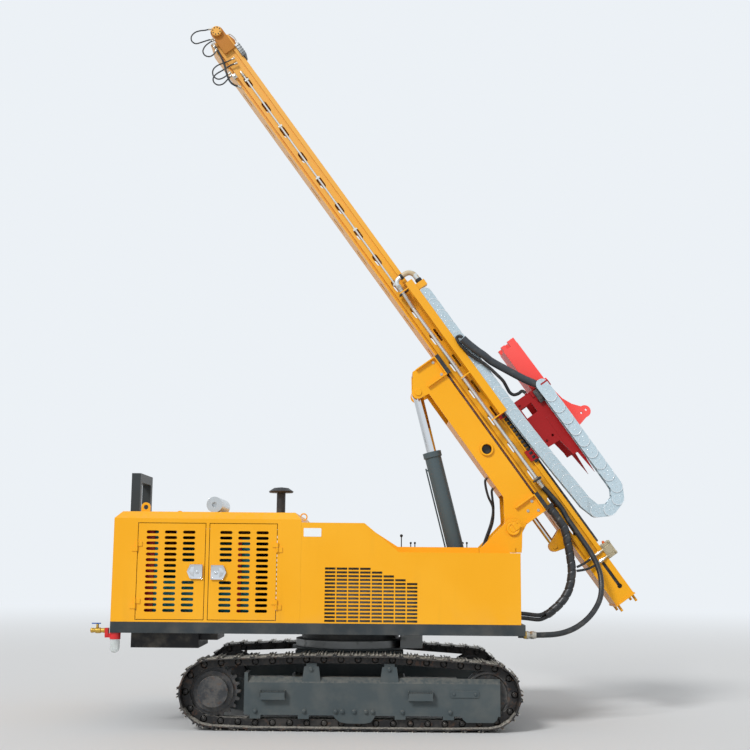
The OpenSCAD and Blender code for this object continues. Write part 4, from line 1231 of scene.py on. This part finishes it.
# Boom: bolts on the guides' ribs, a collar round its side window, and the pin's cap with its keeper
boomTrim = {
    "bolts": [(0.3, 1.655), (0.3, 1.52), (0.29, 0.1), (0.29, 0.0), (0.21, 0.05)],
    "boltY": 0.17,
    "bolt": (0.017, 0.009),
    "window": (0.234, 0.176, 0.72),
    "collar": [
        (0.046, -0.006), (0.046, 0.01), (0.049, 0.013), (0.059, 0.013), (0.062, 0.01), (0.062, 0.0),
    ],
    "pinY": 0.228,
    "cap": [
        (0.0, 0.01), (0.03, 0.01), (0.034, 0.006), (0.037, 0.006), (0.04, 0.01), (0.056, 0.01),
        (0.06, 0.006), (0.06, 0.0),
    ],
    "keeper": ((-0.012, -0.034, 0.009), (0.052, 0.034, 0.015)),
    "keeperAt": (0.022, 0.004),
    "keeperOut": 0.015,
    "keeperBolts": [(0.058, -0.018), (0.058, 0.026)],
    "keeperBolt": (0.013, 0.007),
}


def makeBoomTrim():
    for side, sign in sides:
        bm = bmesh.new()
        for n, t in boomTrim["bolts"]:
            addBolt(bm, onMastSide(n, sign * boomTrim["boltY"], t), *boomTrim["bolt"])
        finishPiece("boomBolts" + side, bm, boltSteel, "boom")
        bm = bmesh.new()
        n, y, t = boomTrim["window"]
        addLathe(bm, boomTrim["collar"], onMastSide(n, sign * y, t), 48)
        finishPiece("boomCollar" + side, bm, yellowPaint, "boom")
        bm = bmesh.new()
        y = sign * boomTrim["pinY"]
        addLathe(bm, boomTrim["cap"], onMastSide(0, y, 0), 40)
        n, t = boomTrim["keeperAt"]
        addBox(bm, *boomTrim["keeper"], onMastSide(n, y, t))
        for n, t in boomTrim["keeperBolts"]:
            place = onMastSide(n, y + sign * boomTrim["keeperOut"], t)
            addBolt(bm, place, *boomTrim["keeperBolt"], False)
        bevelSharp(bm, 0.0012, 1, 50)
        finishPiece("boomPin" + side, bm, yellowPaint, "upper")


makeBoomTrim()
print("upper body and boom dressed")


# Hose loops at the mast's head with their fittings: diameter, Y and the places forward and up the mast
headLoops = {
    "A": (0.0128, -0.186, [
        (0.446, 5.548), (0.432, 5.555), (0.395, 5.57), (0.35, 5.594), (0.3, 5.607), (0.25, 5.592),
        (0.228, 5.55), (0.245, 5.508), (0.29, 5.49), (0.345, 5.474), (0.388, 5.46), (0.402, 5.455),
    ]),
    "B": (0.0134, -0.179, [
        (0.408, 5.44), (0.392, 5.442), (0.35, 5.444), (0.3, 5.436), (0.258, 5.406), (0.252, 5.36),
        (0.282, 5.325), (0.33, 5.322), (0.362, 5.338), (0.372, 5.345),
    ]),
    "C": (0.019, -0.172, [
        (0.384, 5.413), (0.383, 5.395), (0.382, 5.362), (0.374, 5.279), (0.352, 5.179), (0.316, 5.08),
        (0.302, 5.002), (0.316, 4.95), (0.35, 4.905),
    ]),
    "D": (0.0133, -0.1575, [
        (0.462, 5.186), (0.445, 5.188), (0.402, 5.192), (0.35, 5.205), (0.285, 5.216), (0.232, 5.2),
        (0.204, 5.15), (0.222, 5.098), (0.275, 5.08), (0.35, 5.086),
    ]),
    "E": (0.0137, -0.1575, [
        (0.456, 5.13), (0.44, 5.134), (0.399, 5.144), (0.316, 5.146), (0.24, 5.15), (0.192, 5.134),
        (0.172, 5.095), (0.188, 5.05), (0.235, 5.03), (0.295, 5.042), (0.35, 5.056),
    ]),
}


# Fitting over a hose's end: how far each step of its profile stands out of the hose
fitting = {
    "back": 0.022,
    "profile": [(0.0005, 0), (0.003, 0.001), (0.003, 0.022), (0.001, 0.024), (0.001, 0.034)],
    "bore": (0.0008, 0.034),
    "nut": (0.006, 0.01, 0.024),
}


def addFitting(bm, tip, inner, radius):
    way = (tip - inner).normalized()
    place = way.to_track_quat("Z", "Y").to_matrix().to_4x4()
    place.translation = tip - way * fitting["back"]
    profile = [(radius + out, z) for out, z in fitting["profile"]] + [fitting["bore"]]
    addLathe(bm, profile, place, 16)
    out, length, start = fitting["nut"]
    addRod(bm, radius + out, length, place @ at(0, 0, start), 6)


def makeHeadLoops():
    fittings = bmesh.new()
    for name, (diameter, y, route) in headLoops.items():
        points = [onMast(n, y, t) for n, t in route]
        cord = makeHose("headHose" + name, points, diameter, smoothHoseRubber, 14, 0.008)
        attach(cord, "mast")
        addFitting(fittings, points[0], points[1], diameter / 2)
        addFitting(fittings, points[-1], points[-2], diameter / 2)
    finishPiece("headFittings", fittings, boltSteel, "mast", 35)


makeHeadLoops()


# Mast head in the form that the photograph shows: plates, tube with its flange and bolts, lug, motor,
# small valves and a loop of wire
headForm = {
    "axis": (0.48, 5.5),
    "plateN": (0.418, 0.542),
    "plateFoot": 5.27,
    "plateTop": 0.062,
    "plateY": (-0.15, 0.162),
    "plate": 0.012,
    "lugY": (0.045, 0.09),
    "lug": [(0.54, 5.3), (0.581, 5.339), (0.598, 5.39), (0.579, 5.462), (0.55, 5.467), (0.533, 5.453)],
    "tube": [
        (0.0, 0.196), (0.046, 0.196), (0.049, 0.193), (0.049, 0.181), (0.044, 0.178), (0.044, -0.15),
        (0.0, -0.15),
    ],
    "bolts": {"count": 8, "circle": 0.036, "y": -0.196},
    "motor": ((0.545, -0.172, 5.152), (0.592, -0.03, 5.292)),
    "motorRibs": [0.028, 0.056, 0.084, 0.112],
    "plug": (0.56, -0.12, 5.112),
    "valves": [
        ((0.352, -0.172, 5.0), (0.388, -0.14, 5.05)),
        ((0.366, -0.176, 5.368), (0.392, -0.15, 5.4)),
    ],
    "pipeEnd": [
        (0.0, 5.046), (0.01, 5.046), (0.013, 5.04), (0.013, 5.012), (0.016, 5.008), (0.016, 4.99),
        (0.0, 4.99),
    ],
    "pipeFoot": (0.446, -0.138, 0),
    "wireY": -0.03,
    "wire": [
        (0.56, 5.466), (0.575, 5.476), (0.594, 5.468), (0.604, 5.44), (0.61, 5.405), (0.604, 5.375),
        (0.59, 5.362),
    ],
}


def makeHeadBody():
    n, t = headForm["axis"]
    low, high = headForm["plateN"]
    top, foot = headForm["plateTop"], headForm["plateFoot"]
    arc = [math.radians(15 * k) for k in range(13)]
    outline = [(low, foot), (high, foot)] + [(n + top * math.cos(a), t + top * math.sin(a)) for a in arc]
    bm = bmesh.new()
    for y in headForm["plateY"]:
        addPlate(bm, outline, headForm["plate"], alongMast(0, y, 0) @ turn(90, "X"))
    y, width = headForm["lugY"]
    addPlate(bm, headForm["lug"], width, alongMast(0, y, 0) @ turn(90, "X"))
    bevelSharp(bm, 0.002)
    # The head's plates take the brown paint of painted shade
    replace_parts(finishPiece("headPlates", bm, headShadePaint, "mast"), "mast_head")
    bm = bmesh.new()
    addLathe(bm, headForm["tube"], alongMast(n, 0, t) @ turn(90, "X"))
    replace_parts(finishPiece("headFlange", bm, mastPaint, "mast"), "mast_head")
    bm = bmesh.new()
    bolts = headForm["bolts"]
    for k in range(bolts["count"]):
        angle = 2 * math.pi * k / bolts["count"]
        x, y = bolts["circle"] * math.cos(angle), bolts["circle"] * math.sin(angle)
        addRod(bm, 0.0065, 0.004, onMastSide(n, bolts["y"], t) @ at(x, y, 0), 12, 0.005)
    addRod(bm, 0.012, 0.04, alongMast(*headForm["plug"]), 16)
    finishPiece("headBolts", bm, plasticBlack, "mast", 35)


def makeHeadTrim():
    bm = bmesh.new()
    low, high = (Vector(corner) for corner in headForm["motor"])
    addBox(bm, low, high, mastPlace)
    for up in headForm["motorRibs"]:
        foot = Vector((low.x + 0.004, low.y - 0.004, low.z + up))
        addBox(bm, foot, (high.x + 0.004, high.y, foot.z + 0.008), mastPlace)
    bevelSharp(bm, 0.003)
    finishPiece("headMotor", bm, ringSteel, "mast")
    bm = bmesh.new()
    for low, high in headForm["valves"]:
        addBox(bm, low, high, mastPlace)
        addBolt(bm, onMastSide((low[0] + high[0]) / 2, low[1], (low[2] + high[2]) / 2), 0.018, 0.01)
    bevelSharp(bm, 0.0025)
    addLathe(bm, headForm["pipeEnd"], alongMast(*headForm["pipeFoot"]), 16)
    finishPiece("headValves", bm, boltSteel, "mast", 35)
    bm = bmesh.new()
    addTube(bm, [onMast(n, headForm["wireY"], t) for n, t in headForm["wire"]], 0.0045, 0.006, 10)
    finishPiece("headWireLoop", bm, boltSteel, "mast", 50)


makeHeadBody()
makeHeadTrim()
print("mast head dressed")


# Mast: clamps, ferrules, elbow and cone of the silver pipe, dark plates of painted shade behind the foot's
# slots, and the carriage's pads
pipeTrim = {
    "clamps": [
        ((0.41, -0.226, 2.338), (0.509, -0.15, 2.35)),
        ((0.405, -0.222, 0.222), (0.482, -0.15, 0.24)),
    ],
    "clampBolts": [
        (0.424, -0.226, 2.344), (0.496, -0.226, 2.344), (0.418, -0.222, 0.231), (0.47, -0.222, 0.231),
    ],
    "ferrules": [((0.449, -0.15, 0.14), 0.085), ((0.449, -0.215, 2.352), 0.05)],
    "nuts": [(0.449, -0.15, 0.232), (0.449, -0.215, 2.405)],
    "elbow": [
        (0.53, 2.48), (0.56, 2.482), (0.6, 2.474), (0.628, 2.446), (0.637, 2.405), (0.637, 2.375),
    ],
    "elbowNut": (0.512, -0.215, 2.48),
    "elbowY": -0.215,
    "coneN": 0.637,
    "cone": [(0.0, 2.29), (0.018, 2.29), (0.031, 2.335), (0.031, 2.372), (0.026, 2.378), (0.0, 2.378)],
}
footSlot = {"y": (0.13, 0.137), "n": 0.49, "t": -0.845, "length": 0.24, "half": 0.018, "end": -0.968}
guidePads = {"low": (0.528, -0.17, 0.36), "high": (0.562, -0.152, 0.39), "count": 14, "pitch": 0.042}


def makePipeTrim():
    bm = bmesh.new()
    for low, high in pipeTrim["clamps"]:
        addBox(bm, low, high, mastPlace)
    for place in pipeTrim["clampBolts"]:
        addBolt(bm, onMastSide(*place), 0.016, 0.008)
    bevelSharp(bm, 0.0015)
    finishPiece("pipeClamps", bm, wheelSteel, "mast")
    bm = bmesh.new()
    for place, length in pipeTrim["ferrules"]:
        low, high, foot, end = (length * share for share in (0.4, 0.55, 0.42, 0.57))
        profile = [
            (0.018, 0), (0.024, 0.003), (0.024, low), (0.021, foot), (0.021, high), (0.024, end),
            (0.024, length - 0.003), (0.018, length),
        ]
        addLathe(bm, profile, alongMast(*place))
    for place in pipeTrim["nuts"]:
        addRod(bm, 0.027, 0.022, alongMast(*place), 6)
    finishPiece("pipeFerrules", bm, boltSteel, "mast", 35)
    bm = bmesh.new()
    addTube(bm, [onMast(n, pipeTrim["elbowY"], t) for n, t in pipeTrim["elbow"]], 0.0245, 0.008, 24)
    finishPiece("elbowHose", bm, beigeSleeve, "mast", 60)
    bm = bmesh.new()
    addRod(bm, 0.03, 0.024, alongMast(*pipeTrim["elbowNut"]) @ turn(90, "Y"), 6)
    addLathe(bm, pipeTrim["cone"], alongMast(pipeTrim["coneN"], pipeTrim["elbowY"], 0))
    finishPiece("elbowCone", bm, rubberBlack, "mast", 35)


# Black plates behind the foot's slots: painted shade inside them
def makeFootSlots():
    bm = bmesh.new()
    thickness = footSlot["y"][1] - footSlot["y"][0]
    outline = roundEnded(footSlot["length"], footSlot["half"], 6)
    for y in (-footSlot["y"][0], footSlot["y"][1]):
        addPlate(bm, outline, thickness, alongMast(footSlot["n"], y, footSlot["t"]) @ turn(90, "X"))
        addRod(bm, 0.023, thickness, alongMast(footSlot["n"], y, footSlot["end"]) @ turn(90, "X"), 20)
    finishPiece("footSlotShade", bm, rubberBlack, "mast", 35)


def makeGuidePads():
    bm = bmesh.new()
    for k in range(guidePads["count"]):
        place = alongMast(0, 0, guidePads["pitch"] * k)
        addBox(bm, guidePads["low"], guidePads["high"], place)
    bevelSharp(bm, 0.004)
    finishPiece("guidePads", bm, rubberBlack, "carriage")


makePipeTrim()
makeFootSlots()
makeGuidePads()


# Feed motor at the mast's foot: ribbed body, plug and two hoses to the bundle
feedHoses = {
    "Upper": [
        (0.267, -0.212, -0.605), (0.3, -0.205, -0.612), (0.35, -0.188, -0.62), (0.4, -0.172, -0.622),
        (0.425, -0.166, -0.622),
    ],
    "Lower": [
        (0.244, -0.212, -0.631), (0.29, -0.206, -0.655), (0.35, -0.19, -0.68), (0.41, -0.172, -0.69),
        (0.45, -0.166, -0.69),
    ],
}
feedMotor = {
    "ribs": 9,
    "ribPitch": 0.0155,
    "ribLow": (0.562, -0.169, -0.712),
    "ribHigh": (0.653, -0.083, -0.705),
    "bolts": [(n, t) for t in (-0.705, -0.595) for n in (0.575, 0.64)],
    "plug": (0.605, -0.125, -0.582),
    "face": 0.55,
    "hoseEnd": [(0.0115, 0), (0.015, 0.002), (0.015, 0.034), (0.0125, 0.037)],
}


def makeFeedHoses():
    ends = bmesh.new()
    for name, route in feedHoses.items():
        points = [onMast(*p) for p in route]
        cord = makeHose("feedHose" + name, points, 0.022, smoothHoseRubber, 16, 0.008)
        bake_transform(cord)
        tip, y, t = route[-1]
        reach = feedMotor["face"] - tip
        place = alongMast(tip - 0.02, y + 0.001, t) @ turn(90, "Y")
        addLathe(ends, feedMotor["hoseEnd"] + [(0.0125, reach), (0.0, reach)], place, 20)
        addRod(ends, 0.018, 0.014, place @ at(0, 0, 0.042), 6)
        addRod(ends, 0.016, 0.012, place @ at(0, 0, reach - 0.035), 6)
    finishPiece("feedHoseEnds", ends, boltSteel, "mast", 35)


def makeFeedMotor():
    bm = bmesh.new()
    for k in range(feedMotor["ribs"]):
        place = alongMast(0, 0, feedMotor["ribPitch"] * k)
        addBox(bm, feedMotor["ribLow"], feedMotor["ribHigh"], place)
    for n, t in feedMotor["bolts"]:
        addBolt(bm, onMastSide(n, -0.17, t), 0.016, 0.009)
    bevelSharp(bm, 0.0015, 1)
    finishPiece("feedMotorRibs", bm, castAlloy, "mast")
    bm = bmesh.new()
    addRod(bm, 0.014, 0.022, alongMast(*feedMotor["plug"]), 20, 0.01)
    finishPiece("feedMotorPlug", bm, orangePlastic, "mast")


makeFeedHoses()
makeFeedMotor()


# Carriage: block on its near side
carriageBlock = [
    ((0.886, -0.205, 0.778), (0.95, -0.18, 0.905)),
    ((0.896, -0.21, 0.8), (0.94, -0.205, 0.88)),
]


def makeCarriageBlock():
    bm = bmesh.new()
    for low, high in carriageBlock:
        addBox(bm, low, high, mastPlace)
    bevelSharp(bm, 0.003)
    finishPiece("carriageBlock", bm, wheelSteel, "carriage")


makeCarriageBlock()
print("mast and carriage dressed")


# Studio: pale floor and pale surroundings, with a soft sun from the upper left behind the camera
studio = {
    "surround": (0.84, 0.88, 0.92),
    "light": (0.95, 0.98, 1),
    "rays": ("Is Camera Ray", "Is Glossy Ray"),
    "floor": (0.62, 0.62, 0.62),
    "fade": (7, 26),
    "ambient": 0.62,
    "sun": 2.1,
    "sunAngle": 14,
    "sunFrom": (-0.52, -0.72, 0.72),
}


def makeWorld():
    world = Finish("studio", "worlds", "ShaderNodeOutputWorld")
    seen = world.add("ShaderNodeBackground", {}, {"Color": (*studio["surround"], 1)})
    light = {"Color": (*studio["light"], 1), "Strength": studio["ambient"]}
    lit = world.add("ShaderNodeBackground", {}, light)
    rays = {k: world.add("ShaderNodeLightPath", output=name) for k, name in enumerate(studio["rays"])}
    either = world.add("ShaderNodeMath", {"operation": "MAXIMUM"}, rays)
    mixed = world.add("ShaderNodeMixShader", {}, {0: either, 1: lit, 2: seen})
    bpy.context.scene.world = world.show(mixed)


def makeSun():
    data = bpy.data.lights.new("sun", "SUN")
    data.energy = studio["sun"]
    data.angle = math.radians(studio["sunAngle"])
    sun = bpy.data.objects.new("sun", data)
    sun.rotation_euler = Vector(studio["sunFrom"]).to_track_quat("Z", "Y").to_euler()
    bpy.context.scene.collection.objects.link(sun)


# The floor fades into the surroundings far away
def makeFloor():
    finish = Finish("floor")
    coords = finish.add("ShaderNodeTexCoord", output=3)
    distance = finish.add("ShaderNodeVectorMath", {"operation": "LENGTH"}, {0: coords}, 1)
    share = distance.between(*studio["fade"]) * finish.add("ShaderNodeLightPath")
    colour = {"Base Color": (*studio["floor"], 1), "Roughness": 0.8}
    shade = finish.add("ShaderNodeBsdfPrincipled", {}, colour)
    glow = finish.add("ShaderNodeEmission", {}, {"Color": (*studio["surround"], 1)})
    material = finish.show(finish.add("ShaderNodeMixShader", {}, {0: share, 1: shade, 2: glow}))
    bm = bmesh.new()
    bmesh.ops.create_grid(bm, x_segments=1, y_segments=1, size=90)
    finishPiece("floor", bm, material, None)


makeWorld()
makeSun()
makeFloor()
print("studio lit")

bpy.context.scene.view_settings.view_transform = "Standard"
print("pieces done")
